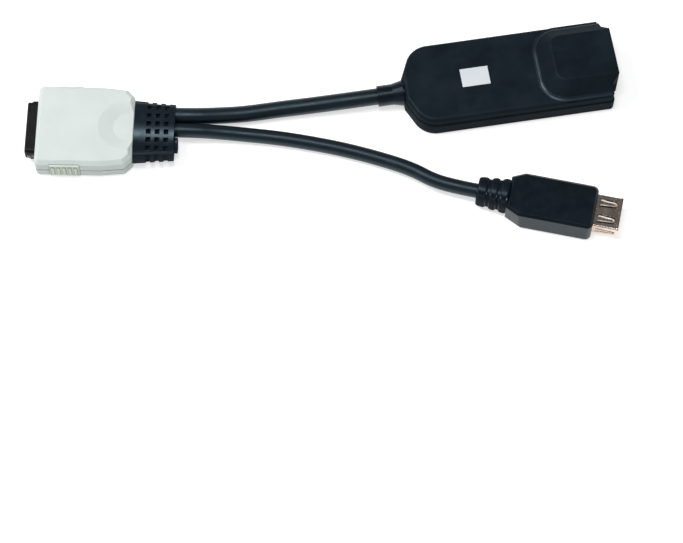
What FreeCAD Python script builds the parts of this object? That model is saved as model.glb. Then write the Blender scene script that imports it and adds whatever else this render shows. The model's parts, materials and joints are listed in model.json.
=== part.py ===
"""Server console adapter lead: a white server plug, a forked lead, a network adapter box and a USB socket.

Millimetres.  +X runs along the adapter box towards its network jack, +Z is up, and the
origin is the centre of the box's flat underside.  Three groups of pieces have frames of
their own: the adapter (the part's frame), the server plug (from the centre of its front
face back along the lead) and the USB socket (from its cable end out to its mouth).
"""
import FreeCAD, Part
import math
import os
import re

import Sketcher
from FreeCAD import Placement, Rotation, Vector

DRIVING_SIZES = {
    # Adapter box, seen from above: a long box that narrows to a flat end round the cable.
    "adapter_length": 77.0,
    "adapter_width": 33.0,
    "cable_end_width": 10.0,
    "taper_length": 5.3,
    "shoulder_radius": 9.0,
    "jack_end_radius": 1.6,
    # Adapter box, seen from the side.
    "split_height": 6.0,
    "lid_height": 10.0,
    "cover_step": 0.4,
    "cover_wall": 1.8,
    "floor_thickness": 1.6,
    "roof_thickness": 1.6,
    "cavity_radius": 5.0,
    "lid_edge_radius": 1.4,
    "base_edge_radius": 0.9,
    # Hood over the network jack.
    "hood_length": 26.4,
    "hood_side_inset": 1.7,
    "hood_radius": 9.0,
    "hood_slope": 45.0,
    "hood_wall": 1.4,
    "hood_overhang": 2.0,
    "hood_edge_radius": 0.7,
    "hood_sink": 0.4,
    "visor_side_inset": 7.0,
    "visor_corner": 2.2,
    # Network jack.
    "jack_width": 15.9,
    "jack_height": 12.0,
    "jack_length": 18.0,
    "jack_floor_gap": 0.3,
    "jack_recess": 0.5,
    "shield_thickness": 0.25,
    "mouth_width": 11.8,
    "mouth_height": 6.9,
    "mouth_depth": 13.5,
    "mouth_roof": 1.6,
    "tab_width": 6.2,
    "tab_height": 1.4,
    "tab_slot_width": 4.0,
    "tab_slot_height": 1.1,
    "jack_pitch": 1.02,
    "jack_wire": 0.4,
    "jack_wire_count": 8,
    "jack_wire_setback": 3.0,
    "jack_wire_drop": 1.8,
    # Circuit board and what it carries.
    "board_rise": 1.8,
    "board_thickness": 1.2,
    "board_gap": 0.4,
    "board_corner": 3.0,
    "chip_size": 14.0,
    "chip_height": 1.4,
    "small_chip_length": 5.0,
    "small_chip_width": 6.0,
    "crystal_length": 3.0,
    "crystal_width": 4.0,
    "coil_radius": 1.9,
    "component_gap": 3.0,
    "component_height": 1.7,
    "header_gap": 2.5,
    "header_length": 5.0,
    "header_width": 11.0,
    "header_height": 3.4,
    # Cover screws and their bosses.
    "boss_radius": 2.6,
    "boss_cable_inset": 15.5,
    "boss_jack_inset": 8.5,
    "boss_side_inset": 4.3,
    "screw_radius": 0.95,
    "screw_head_radius": 1.9,
    "screw_head_height": 1.0,
    "screw_length": 7.6,
    "screw_clearance": 0.12,
    # Cable entry of the adapter.
    "adapter_cable_radius": 3.1,
    "entry_height": 5.0,
    "sleeve_length": 9.5,
    "sleeve_radius": 3.9,
    "sleeve_flare_length": 4.0,
    "sleeve_flare_radius": 4.8,
    "sleeve_neck_radius": 3.7,
    "sleeve_flange_width": 12.0,
    "sleeve_flange_height": 8.0,
    "sleeve_flange_thickness": 1.8,
    "jacket_stub": 1.5,
    "wire_radius": 0.45,
    "wire_pitch": 1.1,
    # Server plug: place of its front face's centre, and its turn about the vertical.
    "plug_x": -174.1,
    "plug_y": 5.65,
    "plug_turn": -10.3,
    "plug_length": 35.7,
    "plug_width": 32.4,
    "plug_height": 10.5,
    "plug_taper_start": 24.0,
    "plug_back_width": 30.6,
    "plug_corner": 3.0,
    "plug_bevel": 1.5,
    "plug_front_radius": 1.8,
    "plug_wall": 1.6,
    "plug_roof": 1.9,
    "plug_neck_wall": 1.7,
    "scoop_length": 13.0,
    "scoop_width": 18.5,
    "scoop_depth": 1.3,
    "scoop_end_slope": 5.4,
    "scoop_side_slope": 3.5,
    # Connector nose.
    "nose_reach": 4.0,
    "nose_collar": 2.0,
    "nose_width": 21.8,
    "nose_height": 6.6,
    "nose_step": 0.35,
    "nose_radius": 1.6,
    "nose_edge_radius": 0.5,
    "nose_depth": 12.0,
    "nose_flange_width": 24.0,
    "nose_flange_height": 8.0,
    "nose_flange_start": 2.2,
    "nose_flange_thickness": 1.6,
    "nose_slot_width": 14.8,
    "nose_slot_height": 2.2,
    "nose_slot_depth": 5.0,
    "contact_pitch": 1.27,
    "contact_count": 10,
    "contact_width": 0.5,
    "contact_thickness": 0.3,
    "contact_length": 16.0,
    # Release buttons and the latch arms that they work.
    "button_start": 5.5,
    "button_length": 11.0,
    "button_height": 7.6,
    "button_proud": 0.35,
    "button_travel": 0.8,
    "button_flange_length": 13.4,
    "button_flange_height": 6.2,
    "button_flange_thickness": 1.0,
    "button_foot_length": 3.0,
    "button_foot_height": 1.8,
    "button_ribs": 5,
    "button_rib_pitch": 2.1,
    "button_rib_width": 1.0,
    "button_rib_height": 0.3,
    "button_rib_length": 5.6,
    "latch_side": 10.5,
    "latch_thickness": 0.6,
    "latch_height": 1.8,
    "latch_eye_gap": 0.6,
    "latch_reach": 3.2,
    "latch_hook": 0.4,
    "latch_hook_length": 1.6,
    "latch_eye_radius": 1.4,
    "latch_pin_radius": 0.7,
    "latch_slot_depth": 2.6,
    # Strain relief of the plug.
    "boot_length": 14.9,
    "boot_width": 25.0,
    "boot_height": 9.0,
    "boot_end_width": 22.4,
    "boot_end_height": 8.0,
    "boot_crown": 0.55,
    "boot_neck_width": 21.6,
    "boot_neck_height": 5.8,
    "boot_neck_reach": 8.0,
    "boot_flange_width": 23.6,
    "boot_flange_height": 6.6,
    "boot_flange_thickness": 1.8,
    "boot_collar": 4.65,
    "window_columns": 3,
    "window_rows": 6,
    "window_pitch_along": 3.25,
    "window_pitch_across": 3.3,
    "window_length": 1.7,
    "window_width": 1.9,
    "window_depth": 2.0,
    "side_window_depth": 1.6,
    "side_window_height": 6.0,
    "adapter_cable_offset": 7.05,
    "usb_cable_offset": 1.15,
    "lead_straight": 6.6,
    "blank_port_offset": -5.2,
    "blank_port_radius": 2.9,
    "blank_port_reach": 1.3,
    "blank_port_dish_radius": 2.0,
    "blank_port_dish_depth": 0.6,
    # USB socket: place of its cable end, and its turn about the vertical.
    "usb_x": -18.3,
    "usb_y": -43.9,
    "usb_turn": -20.8,
    "usb_cable_radius": 2.7,
    "usb_centre_height": 4.8,
    "usb_relief_length": 11.5,
    "usb_relief_start_width": 9.3,
    "usb_relief_start_height": 8.8,
    "usb_relief_end_width": 12.0,
    "usb_relief_end_height": 9.2,
    "usb_relief_radius": 3.5,
    "usb_first_groove": 3.7,
    "usb_second_groove": 7.5,
    "usb_groove_width": 1.1,
    "usb_groove_depth": 0.5,
    "usb_body_length": 31.9,
    "usb_body_width": 17.3,
    "usb_body_height": 9.6,
    "usb_draft": 0.8,
    "usb_shoulder_length": 6.2,
    "usb_shoulder_width": 12.8,
    "usb_corner_radius": 2.2,
    "usb_edge": 0.9,
    "usb_shell_width": 13.1,
    "usb_shell_height": 5.72,
    "usb_shell_wall": 0.3,
    "usb_shell_proud": 9.3,
    "usb_shell_length": 19.2,
    "usb_shell_radius": 0.6,
    "usb_lip_length": 0.8,
    "usb_lip_proud": 0.2,
    "usb_tongue_width": 11.1,
    "usb_tongue_thickness": 1.84,
    "usb_tongue_reach": 7.4,
    "usb_tongue_gap": 0.8,
    "usb_contact_pitch": 2.0,
    "usb_contact_width": 1.1,
    "usb_contact_thickness": 0.25,
    "usb_contact_length": 5.9,
    "usb_finger_length": 6.9,
    "usb_finger_width": 3.5,
    "usb_finger_taper": 0.5,
    "usb_finger_cut": 0.5,
    "usb_finger_margin": 1.3,
    "usb_finger_side": 3.2,
    # Clearances between pieces.
    "fit": 0.15,
    "close_fit": 0.05,
}

TURN_ABOUT_Z = Vector(0, 0, 1)

doc = FreeCAD.newDocument("console_adapter_lead")
sheet = doc.addObject("Spreadsheet::Sheet", "Sizes")
reckoner = doc.addObject("Spreadsheet::Sheet", "Reckoner")
sub_parts = []


def fill_sheet():
    """Write each driving size as a plain number with its name as the cell's alias."""
    for line, (name, value) in enumerate(DRIVING_SIZES.items(), start=1):
        sheet.set("A%d" % line, name)
        sheet.set("B%d" % line, str(value))
        sheet.setAlias("B%d" % line, name)
    doc.recompute()


def number(formula):
    """The value of a formula in the sheet's names, worked out on a sheet of its own."""
    reckoner.set("A1", "=" + bound(formula))
    reckoner.recompute()
    return float(reckoner.get("A1"))


def bound(formula):
    """The formula with each size's name pointed at its cell."""
    return re.sub(r"[a-z][a-z_]+", lambda word: sheet_name(word.group()), formula)


def sheet_name(word):
    return "Sizes." + word if word in DRIVING_SIZES else word


# Bodies, sketches and features

def new_body(label, x="0", y="0", z="0", turn="0"):
    """A body named after its piece, at a place of its own and turned about the vertical."""
    body = doc.addObject("PartDesign::Body", label)
    body.Label = label
    body.AllowCompound = True
    body.Placement = Placement(Vector(), Rotation(TURN_ABOUT_Z, 0))
    body.setExpression("Placement.Base.x", bound(x))
    body.setExpression("Placement.Base.y", bound(y))
    body.setExpression("Placement.Base.z", bound(z))
    body.setExpression("Placement.Rotation.Angle", bound(turn))
    sub_parts.append(body)
    return body


def plug_body(label):
    """A body in the server plug's frame: +X back along the lead, from the front face."""
    return new_body(label, "plug_x", "plug_y", "plug_height / 2", "plug_turn")


def usb_body(label):
    """A body in the USB socket's frame: +X out towards the mouth, from the cable end."""
    return new_body(label, "usb_x", "usb_y", "usb_centre_height", "usb_turn")


def origin_plane(body, role):
    return [item for item in body.Origin.OriginFeatures if item.Role == role][0]


def new_sketch(body, name, role="XY_Plane", offset="0"):
    """A sketch on one of the body's own planes, moved along that plane's normal."""
    sketch = body.newObject("Sketcher::SketchObject", name)
    sketch.AttachmentSupport = [(origin_plane(body, role), "")]
    sketch.MapMode = "FlatFace"
    sketch.setExpression("AttachmentOffset.Base.z", bound(offset))
    return sketch


def hold(sketch, kind, geometry, point, formula):
    """Hold one point of a sketch at a formula's distance from the sketch's origin."""
    index = sketch.addConstraint(
        Sketcher.Constraint(kind, -1, 1, geometry, point, number(formula))
    )
    sketch.setExpression("Constraints[%d]" % index, bound(formula))


def hold_radius(sketch, geometry, formula):
    index = sketch.addConstraint(Sketcher.Constraint("Radius", geometry, number(formula)))
    sketch.setExpression("Constraints[%d]" % index, bound(formula))


def polygon(sketch, corners):
    """A closed outline of straight lines through corners given as pairs of formulas."""
    first = sketch.GeometryCount
    places = [Vector(number(x), number(y), 0) for x, y in corners]
    count = len(corners)
    for index in range(count):
        line = Part.LineSegment(places[index], places[(index + 1) % count])
        sketch.addGeometry(line, False)
    for index in range(count):
        joined = first + (index + 1) % count
        sketch.addConstraint(Sketcher.Constraint("Coincident", first + index, 2, joined, 1))
    for index, (x, y) in enumerate(corners):
        hold(sketch, "DistanceX", first + index, 1, x)
        hold(sketch, "DistanceY", first + index, 1, y)


def rectangle(sketch, left, right, low, high):
    polygon(sketch, [(left, low), (right, low), (right, high), (left, high)])


def rounded_rectangle(sketch, left, right, low, high, radius):
    """A rectangle with one radius at its four corners."""
    first = sketch.GeometryCount
    x0, x1, y0, y1 = number(left), number(right), number(low), number(high)
    r = number(radius)
    sides = [
        (Vector(x0 + r, y0, 0), Vector(x1 - r, y0, 0)),
        (Vector(x1, y0 + r, 0), Vector(x1, y1 - r, 0)),
        (Vector(x1 - r, y1, 0), Vector(x0 + r, y1, 0)),
        (Vector(x0, y1 - r, 0), Vector(x0, y0 + r, 0)),
    ]
    centres = [
        Vector(x1 - r, y0 + r, 0),
        Vector(x1 - r, y1 - r, 0),
        Vector(x0 + r, y1 - r, 0),
        Vector(x0 + r, y0 + r, 0),
    ]
    for corner in range(4):
        start = math.radians(90 * corner - 90)
        circle_at = Part.Circle(centres[corner], TURN_ABOUT_Z, r)
        sketch.addGeometry(Part.LineSegment(*sides[corner]), False)
        sketch.addGeometry(Part.ArcOfCircle(circle_at, start, start + math.pi / 2), False)
    for index in range(8):
        joined = first + (index + 1) % 8
        sketch.addConstraint(Sketcher.Constraint("Tangent", first + index, 2, joined, 1))
    for side, kind in enumerate(("Horizontal", "Vertical", "Horizontal", "Vertical")):
        sketch.addConstraint(Sketcher.Constraint(kind, first + 2 * side))
    for corner in (1, 2, 3):
        arc = first + 2 * corner + 1
        sketch.addConstraint(Sketcher.Constraint("Equal", first + 1, arc))
    hold(sketch, "DistanceY", first, 1, low)
    hold(sketch, "DistanceX", first + 2, 1, right)
    hold(sketch, "DistanceY", first + 4, 1, high)
    hold(sketch, "DistanceX", first + 6, 1, left)
    hold_radius(sketch, first + 1, radius)


def crowned_outline(sketch, width, height, crown):
    """Half-round sides joined by a shallow arch above and below; crown is the arch's rise."""
    first = sketch.GeometryCount
    side = "((%s) / 2 - (%s))" % (height, crown)
    reach = "((%s) / 2 - %s)" % (width, side)
    a, b, rise = number(reach), number(side), number(crown)
    arcs = [
        (Vector(a, -b, 0), Vector(a + b, 0, 0), Vector(a, b, 0)),
        (Vector(a, b, 0), Vector(0, b + rise, 0), Vector(-a, b, 0)),
        (Vector(-a, b, 0), Vector(-a - b, 0, 0), Vector(-a, -b, 0)),
        (Vector(-a, -b, 0), Vector(0, -b - rise, 0), Vector(a, -b, 0)),
    ]
    for arc in arcs:
        sketch.addGeometry(Part.Arc(*arc), False)
    for index in range(4):
        joined = first + (index + 1) % 4
        sketch.addConstraint(Sketcher.Constraint("Coincident", first + index, 2, joined, 1))
    starts = [(reach, "-" + side), (reach, side), ("-" + reach, side),
              ("-" + reach, "-" + side)]
    for index, (x, y) in enumerate(starts):
        hold(sketch, "DistanceX", first + index, 1, x)
        hold(sketch, "DistanceY", first + index, 1, y)
    centre = "(%s + (%s) / 2 - %s ^ 2 / (2 * (%s)))" % (side, crown, reach, crown)
    hold(sketch, "DistanceX", first, 3, reach)
    hold(sketch, "DistanceY", first + 1, 3, centre)
    hold(sketch, "DistanceX", first + 2, 3, "-" + reach)
    hold(sketch, "DistanceY", first + 3, 3, "-" + centre)


def circle(sketch, x, y, radius):
    index = sketch.GeometryCount
    centre = Vector(number(x), number(y), 0)
    sketch.addGeometry(Part.Circle(centre, TURN_ABOUT_Z, number(radius)), False)
    hold(sketch, "DistanceX", index, 3, x)
    hold(sketch, "DistanceY", index, 3, y)
    hold_radius(sketch, index, radius)


def pad(body, name, sketch, length, along_normal=True, both_ways=False):
    """Add what the sketch outlines, along its normal or against it."""
    feature = body.newObject("PartDesign::Pad", name)
    feature.Profile = sketch
    feature.Reversed = not along_normal
    feature.Midplane = both_ways
    feature.setExpression("Length", bound(length))
    doc.recompute()
    return feature


def pocket(body, name, sketch, length, along_normal=False, both_ways=False):
    """Cut what the sketch outlines, against its normal or along it."""
    before = body.Shape.Volume
    feature = body.newObject("PartDesign::Pocket", name)
    feature.Profile = sketch
    feature.Reversed = along_normal
    feature.Midplane = both_ways
    feature.setExpression("Length", bound(length))
    doc.recompute()
    if feature.Shape.Volume > before - 1e-6:
        raise RuntimeError(name + " cuts nothing")
    return feature


def revolve(body, name, sketch):
    feature = body.newObject("PartDesign::Revolution", name)
    feature.Profile = sketch
    feature.ReferenceAxis = (sketch, ["H_Axis"])
    feature.Angle = 360
    doc.recompute()
    return feature


def loft(body, name, start, end):
    feature = body.newObject("PartDesign::AdditiveLoft", name)
    feature.Profile = start
    feature.Sections = [end]
    doc.recompute()
    return feature


def loft_cut(body, name, start, end):
    """Cut the space that runs from one outline to the other."""
    before = body.Shape.Volume
    feature = body.newObject("PartDesign::SubtractiveLoft", name)
    feature.Profile = start
    feature.Sections = [end]
    doc.recompute()
    if feature.Shape.Volume > before - 1e-6:
        raise RuntimeError(name + " cuts nothing")
    return feature


def round_edges(body, name, radius, chosen):
    """Fillet the edges of the body's last feature that the test picks."""
    base = body.Tip
    picked = edge_names(base, chosen)
    feature = body.newObject("PartDesign::Fillet", name)
    feature.Base = (base, picked)
    feature.setExpression("Radius", bound(radius))
    doc.recompute()
    return feature


def bevel_edges(body, name, depth, chosen):
    """Chamfer the edges of the body's last feature that the test picks."""
    base = body.Tip
    picked = edge_names(base, chosen)
    feature = body.newObject("PartDesign::Chamfer", name)
    feature.Base = (base, picked)
    feature.setExpression("Size", bound(depth))
    doc.recompute()
    return feature


def edge_names(base, chosen):
    names = []
    for index, edge in enumerate(base.Shape.Edges, start=1):
        if chosen(edge.BoundBox):
            names.append("Edge%d" % index)
    if not names:
        raise RuntimeError("no edge of " + base.Name + " was picked")
    return names


def same(first, second):
    return abs(first - second) < 1e-4


def upright(box):
    """A straight edge along Z."""
    return same(box.XLength, 0) and same(box.YLength, 0)


def level_at(box, height):
    """An edge that lies flat at one height."""
    return same(box.ZMin, height) and same(box.ZMax, height)


def row(body, name, original, sketch, axis, pitch, count):
    """Repeat a feature in a straight row along one axis of its sketch."""
    feature = body.newObject("PartDesign::LinearPattern", name)
    feature.Originals = [original]
    feature.Direction = (sketch, [axis])
    feature.setExpression("Length", bound("(%s) * (%s - 1)" % (pitch, count)))
    feature.setExpression("Occurrences", bound(count))
    body.Tip = feature
    doc.recompute()
    return feature


def grid(body, name, original, sketch, along, across):
    """Repeat a feature in columns along a sketch's H axis and rows along its V axis."""
    feature = body.newObject("PartDesign::LinearPattern", name)
    feature.Originals = [original]
    feature.Direction = (sketch, ["H_Axis"])
    feature.Direction2 = (sketch, ["V_Axis"])
    feature.setExpression("Length", bound("(%s) * (%s - 1)" % along))
    feature.setExpression("Occurrences", bound(along[1]))
    feature.setExpression("Length2", bound("(%s) * (%s - 1)" % across))
    feature.setExpression("Occurrences2", bound(across[1]))
    body.Tip = feature
    doc.recompute()
    return feature


# Heights and places that several pieces share, as formulas in the sheet's names

BOARD_BOTTOM = "(floor_thickness + board_rise)"
BOARD_TOP = "(floor_thickness + board_rise + board_thickness)"
JACK_BOTTOM = "(floor_thickness + jack_floor_gap)"
JACK_TOP = "(floor_thickness + jack_floor_gap + jack_height)"
JACK_FRONT = "(adapter_length / 2 + hood_overhang - jack_recess)"
JACK_BACK = "(adapter_length / 2 + hood_overhang - jack_recess - jack_length)"
HOOD_END = "(adapter_length / 2 + hood_overhang)"
HOOD_TOP = "(floor_thickness + jack_floor_gap + jack_height + fit + hood_wall)"
BOSS_CABLE_X = "(boss_cable_inset - adapter_length / 2)"
BOSS_JACK_X = "(adapter_length / 2 - boss_jack_inset)"
HEADER_START = ("(-adapter_length / 2 + taper_length + cover_wall + board_gap"
                " + jacket_stub)")
CHIP_PLACE = ("(%s + header_length + header_gap + crystal_length + component_gap"
              " + chip_size / 2)" % HEADER_START)
BOSS_Y = "(adapter_width / 2 - boss_side_inset)"
BOSS_PLACES = [
    (BOSS_CABLE_X, BOSS_Y),
    (BOSS_CABLE_X, "-" + BOSS_Y),
    (BOSS_JACK_X, BOSS_Y),
    (BOSS_JACK_X, "-" + BOSS_Y),
]
HOOD_SIDE = "(adapter_width / 2 - hood_side_inset)"
VISOR_SIDE = "(adapter_width / 2 - visor_side_inset)"
JACK_CHEEK = "(jack_width / 2 + fit + hood_wall)"
PLUG_CAVITY_END = "(plug_length - boot_neck_reach - plug_neck_wall)"
LATCH_PIVOT = ("(plug_length - boot_neck_reach - plug_neck_wall"
               " - latch_eye_gap - latch_eye_radius)")
SHELL_BACK = "(usb_relief_length + usb_body_length + usb_shell_proud - usb_shell_length)"
SHELL_MOUTH = "(usb_relief_length + usb_body_length + usb_shell_proud)"


# Adapter box

def box_outline(sketch, inset):
    """The box from above: a long rectangle that narrows to the flat cable end."""
    left = "-adapter_length / 2 + " + inset
    shoulder = "-adapter_length / 2 + taper_length"
    right = "adapter_length / 2 - " + inset
    side = "(adapter_width / 2 - %s)" % inset
    flat = "(cable_end_width / 2)"
    polygon(sketch, [
        (left, "-" + flat),
        (shoulder, "-" + side),
        (right, "-" + side),
        (right, side),
        (shoulder, side),
        (left, flat),
    ])


def round_box(body, inset):
    """Round the upright corners of the box: wide at the shoulders, small at the jack end."""
    shoulder = number("-adapter_length / 2 + taper_length")
    right = number("adapter_length / 2 - " + inset)
    round_edges(body, "shoulders", "shoulder_radius",
                lambda box: upright(box) and same(box.XMin, shoulder))
    round_edges(body, "jack_end_corners", "jack_end_radius",
                lambda box: upright(box) and same(box.XMin, right))


def cable_mouth(body, outer_face):
    """The round way through the end wall for the neck of the strain relief."""
    mouth = new_sketch(body, "cable_mouth", "YZ_Plane", outer_face)
    circle(mouth, "0", "entry_height", "sleeve_neck_radius + fit")
    pocket(body, "cable_way", mouth, "cover_wall + taper_length", along_normal=True)


def flange_seat(body, low, high):
    """The seat behind the end wall for the flange of the strain relief."""
    seat = new_sketch(body, "flange_outline", "XY_Plane", low)
    rectangle(seat, "-adapter_length / 2 + cover_wall",
              "-adapter_length / 2 + cover_wall + taper_length + 1",
              "-sleeve_flange_width / 2 - fit", "sleeve_flange_width / 2 + fit")
    pocket(body, "flange_seat", seat, "%s - (%s)" % (high, low), along_normal=True)


def make_adapter_bottom_cover():
    body = new_body("adapter_bottom_cover")
    outline = new_sketch(body, "outline")
    box_outline(outline, "0")
    pad(body, "tray", outline, "split_height")
    round_box(body, "0")
    round_edges(body, "bottom_edge", "base_edge_radius", lambda box: level_at(box, 0))

    collar = new_sketch(body, "jack_collar", "XY_Plane", "floor_thickness / 2")
    rectangle(collar, "adapter_length / 2 - cover_wall", HOOD_END,
              "-" + JACK_CHEEK, JACK_CHEEK)
    pad(body, "collar", collar, "split_height - floor_thickness / 2")

    cavity = new_sketch(body, "cavity", "XY_Plane", "floor_thickness")
    rounded_rectangle(cavity, "-adapter_length / 2 + taper_length + cover_wall",
                      "adapter_length / 2 - cover_wall",
                      "-adapter_width / 2 + cover_wall", "adapter_width / 2 - cover_wall",
                      "cavity_radius")
    pocket(body, "hollow", cavity, "split_height", along_normal=True)

    gate = new_sketch(body, "jack_gate", "XY_Plane", "floor_thickness")
    rectangle(gate, "adapter_length / 2 - cover_wall - 1", HOOD_END + " + 1",
              "-jack_width / 2 - fit", "jack_width / 2 + fit")
    pocket(body, "jack_way", gate, "split_height", along_normal=True)

    flange_seat(body, "entry_height - sleeve_flange_height / 2 - fit", "split_height + 1")
    cable_mouth(body, "-adapter_length / 2 - 1")

    bosses = new_sketch(body, "bosses", "XY_Plane", "floor_thickness / 2")
    for x, y in BOSS_PLACES:
        circle(bosses, x, y, "boss_radius")
    pad(body, "board_seats", bosses, BOARD_BOTTOM + " - floor_thickness / 2")
    holes = new_sketch(body, "screw_holes")
    for x, y in BOSS_PLACES:
        circle(holes, x, y, "screw_radius + screw_clearance")
    pocket(body, "screw_ways", holes, BOARD_BOTTOM + " + 1", along_normal=True)
    recesses = new_sketch(body, "screw_recesses")
    for x, y in BOSS_PLACES:
        circle(recesses, x, y, "screw_head_radius + screw_clearance")
    pocket(body, "head_seats", recesses, "screw_head_height + screw_clearance",
           along_normal=True)


def make_adapter_top_cover():
    body = new_body("adapter_top_cover")
    outline = new_sketch(body, "outline", "XY_Plane", "split_height")
    box_outline(outline, "cover_step")
    pad(body, "lid", outline, "lid_height - split_height")
    round_box(body, "cover_step")
    lid_top = number("lid_height")
    round_edges(body, "top_edge", "lid_edge_radius", lambda box: level_at(box, lid_top))

    # The hood slopes in on every side but the jack's, where a square cut ends it.
    hood = new_sketch(body, "hood_foot", "XY_Plane", "lid_height - hood_sink")
    rounded_rectangle(hood, "adapter_length / 2 - hood_length - hood_sink",
                      "adapter_length / 2 + hood_length",
                      "-%s - hood_sink" % HOOD_SIDE, HOOD_SIDE + " + hood_sink",
                      "hood_radius + hood_sink")
    slope = pad(body, "hood", hood, HOOD_TOP + " - lid_height + hood_sink")
    slope.setExpression("TaperAngle", bound("-hood_slope"))
    doc.recompute()
    beyond = new_sketch(body, "beyond_hood", "YZ_Plane", HOOD_END)
    rectangle(beyond, "-adapter_width", "adapter_width", "0", HOOD_TOP + " + 1")
    pocket(body, "hood_end", beyond, "2 * hood_length", along_normal=True)

    # Only the crown reaches past the box, as a visor; its sloping sides stop at the box.
    lid_end = "(adapter_length / 2 - cover_step)"
    for sign in ("", "-"):
        aside = new_sketch(body, "beside_visor", "XY_Plane", "split_height")
        polygon(aside, [
            (lid_end, "%s(%s + visor_corner)" % (sign, VISOR_SIDE)),
            (HOOD_END, sign + VISOR_SIDE),
            (HOOD_END + " + 1", sign + VISOR_SIDE),
            (HOOD_END + " + 1", sign + "adapter_width"),
            (lid_end, sign + "adapter_width"),
        ])
        pocket(body, "visor_side", aside, HOOD_TOP, along_normal=True)
    collar = new_sketch(body, "jack_collar", "XY_Plane", "split_height")
    rectangle(collar, "adapter_length / 2 - cover_wall", HOOD_END,
              "-" + JACK_CHEEK, JACK_CHEEK)
    pad(body, "collar", collar, "lid_height - split_height")

    hood_top = number(HOOD_TOP)
    round_edges(body, "hood_crown", "hood_edge_radius",
                lambda box: level_at(box, hood_top) and box.XMin < number(HOOD_END) - 0.01)

    cavity = new_sketch(body, "cavity", "XY_Plane", "split_height")
    rounded_rectangle(cavity, "-adapter_length / 2 + taper_length + cover_wall",
                      "adapter_length / 2 - cover_wall",
                      "-adapter_width / 2 + cover_wall", "adapter_width / 2 - cover_wall",
                      "cavity_radius")
    pocket(body, "hollow", cavity, "lid_height - roof_thickness - split_height",
           along_normal=True)
    bay = new_sketch(body, "jack_bay", "XY_Plane", "split_height")
    rectangle(bay, JACK_BACK + " - fit", HOOD_END + " + 1",
              "-jack_width / 2 - fit", "jack_width / 2 + fit")
    pocket(body, "jack_room", bay, JACK_TOP + " + fit - split_height", along_normal=True)

    flange_seat(body, "split_height", "entry_height + sleeve_flange_height / 2 + fit")
    cable_mouth(body, "-adapter_length / 2 - 1")

    bosses = new_sketch(body, "bosses", "XY_Plane", BOARD_TOP)
    for x, y in BOSS_PLACES:
        circle(bosses, x, y, "boss_radius - cover_step")
    pad(body, "board_clamps", bosses,
        "lid_height - roof_thickness / 2 - " + BOARD_TOP)
    holes = new_sketch(body, "pilot_holes", "XY_Plane", BOARD_TOP)
    for x, y in BOSS_PLACES:
        circle(holes, x, y, "screw_radius + close_fit")
    pocket(body, "pilots", holes, "lid_height - roof_thickness / 2 - " + BOARD_TOP,
           along_normal=True)


def make_cover_screws():
    """Four countersunk screws that hold the covers together from below."""
    body = new_body("cover_screws")
    shanks = new_sketch(body, "shanks", "XY_Plane", "screw_clearance")
    heads = new_sketch(body, "heads", "XY_Plane", "screw_clearance")
    drives = new_sketch(body, "drives", "XY_Plane", "screw_clearance")
    for x, y in BOSS_PLACES:
        circle(shanks, x, y, "screw_radius")
        circle(heads, x, y, "screw_head_radius")
        rectangle(drives, x + " - screw_head_radius / 2", x + " + screw_head_radius / 2",
                  y + " - screw_radius / 4", y + " + screw_radius / 4")
    pad(body, "shank", shanks, "screw_length")
    pad(body, "head", heads, "screw_head_height")
    pocket(body, "drive", drives, "screw_head_height / 2", along_normal=True)


def make_adapter_circuit_board():
    """The board: it sits on the screw bosses, with a bay cut into it for the jack."""
    body = new_body("adapter_circuit_board")
    outline = new_sketch(body, "outline", "XY_Plane", BOARD_BOTTOM)
    left = "(-adapter_length / 2 + taper_length + cover_wall + board_gap)"
    right = "(adapter_length / 2 - cover_wall - board_gap)"
    side = "(adapter_width / 2 - cover_wall - board_gap)"
    bay = "(jack_width / 2 + board_gap)"
    back = "(%s - board_gap)" % JACK_BACK
    corner = "(cavity_radius)"
    polygon(outline, [
        (left, "-%s + %s" % (side, corner)),
        ("%s + %s" % (left, corner), "-" + side),
        ("%s - board_corner" % right, "-" + side),
        (right, "-%s + board_corner" % side),
        (right, "-" + bay),
        (back, "-" + bay),
        (back, bay),
        (right, bay),
        (right, "%s - board_corner" % side),
        ("%s - board_corner" % right, side),
        ("%s + %s" % (left, corner), side),
        (left, "%s - %s" % (side, corner)),
    ])
    pad(body, "board", outline, "board_thickness")
    holes = new_sketch(body, "holes", "XY_Plane", BOARD_BOTTOM)
    for x, y in BOSS_PLACES:
        circle(holes, x, y, "screw_radius + screw_clearance")
    pocket(body, "screw_ways", holes, "board_thickness", along_normal=True)


def make_processor_chip():
    body = new_body("processor_chip")
    outline = new_sketch(body, "outline", "XY_Plane", BOARD_TOP)
    rectangle(outline, CHIP_PLACE + " - chip_size / 2", CHIP_PLACE + " + chip_size / 2",
              "-chip_size / 2", "chip_size / 2")
    pad(body, "package", outline, "chip_height")
    top = number(BOARD_TOP + " + chip_height")
    bevel_edges(body, "mould_draft", "chip_height / 4", lambda box: level_at(box, top))


def make_board_components():
    """Small parts soldered round the processor: two narrow chips, a crystal and coils."""
    body = new_body("board_components")
    outline = new_sketch(body, "outline", "XY_Plane", BOARD_TOP)
    near = "(%s + chip_size / 2 + component_gap)" % CHIP_PLACE
    far = "(%s - chip_size / 2 - component_gap)" % CHIP_PLACE
    beyond = "(%s + small_chip_length + component_gap)" % near
    for start in ("-small_chip_width - component_gap / 2", "component_gap / 2"):
        rectangle(outline, near, near + " + small_chip_length",
                  start, start + " + small_chip_width")
    rectangle(outline, far + " - crystal_length", far,
              "-crystal_width / 2", "crystal_width / 2")
    rectangle(outline, beyond, beyond + " + crystal_length",
              "-crystal_width - component_gap / 2", "-component_gap / 2")
    circle(outline, beyond + " + coil_radius", "component_gap / 2 + coil_radius",
           "coil_radius")
    pad(body, "packages", outline, "component_height")


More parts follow.
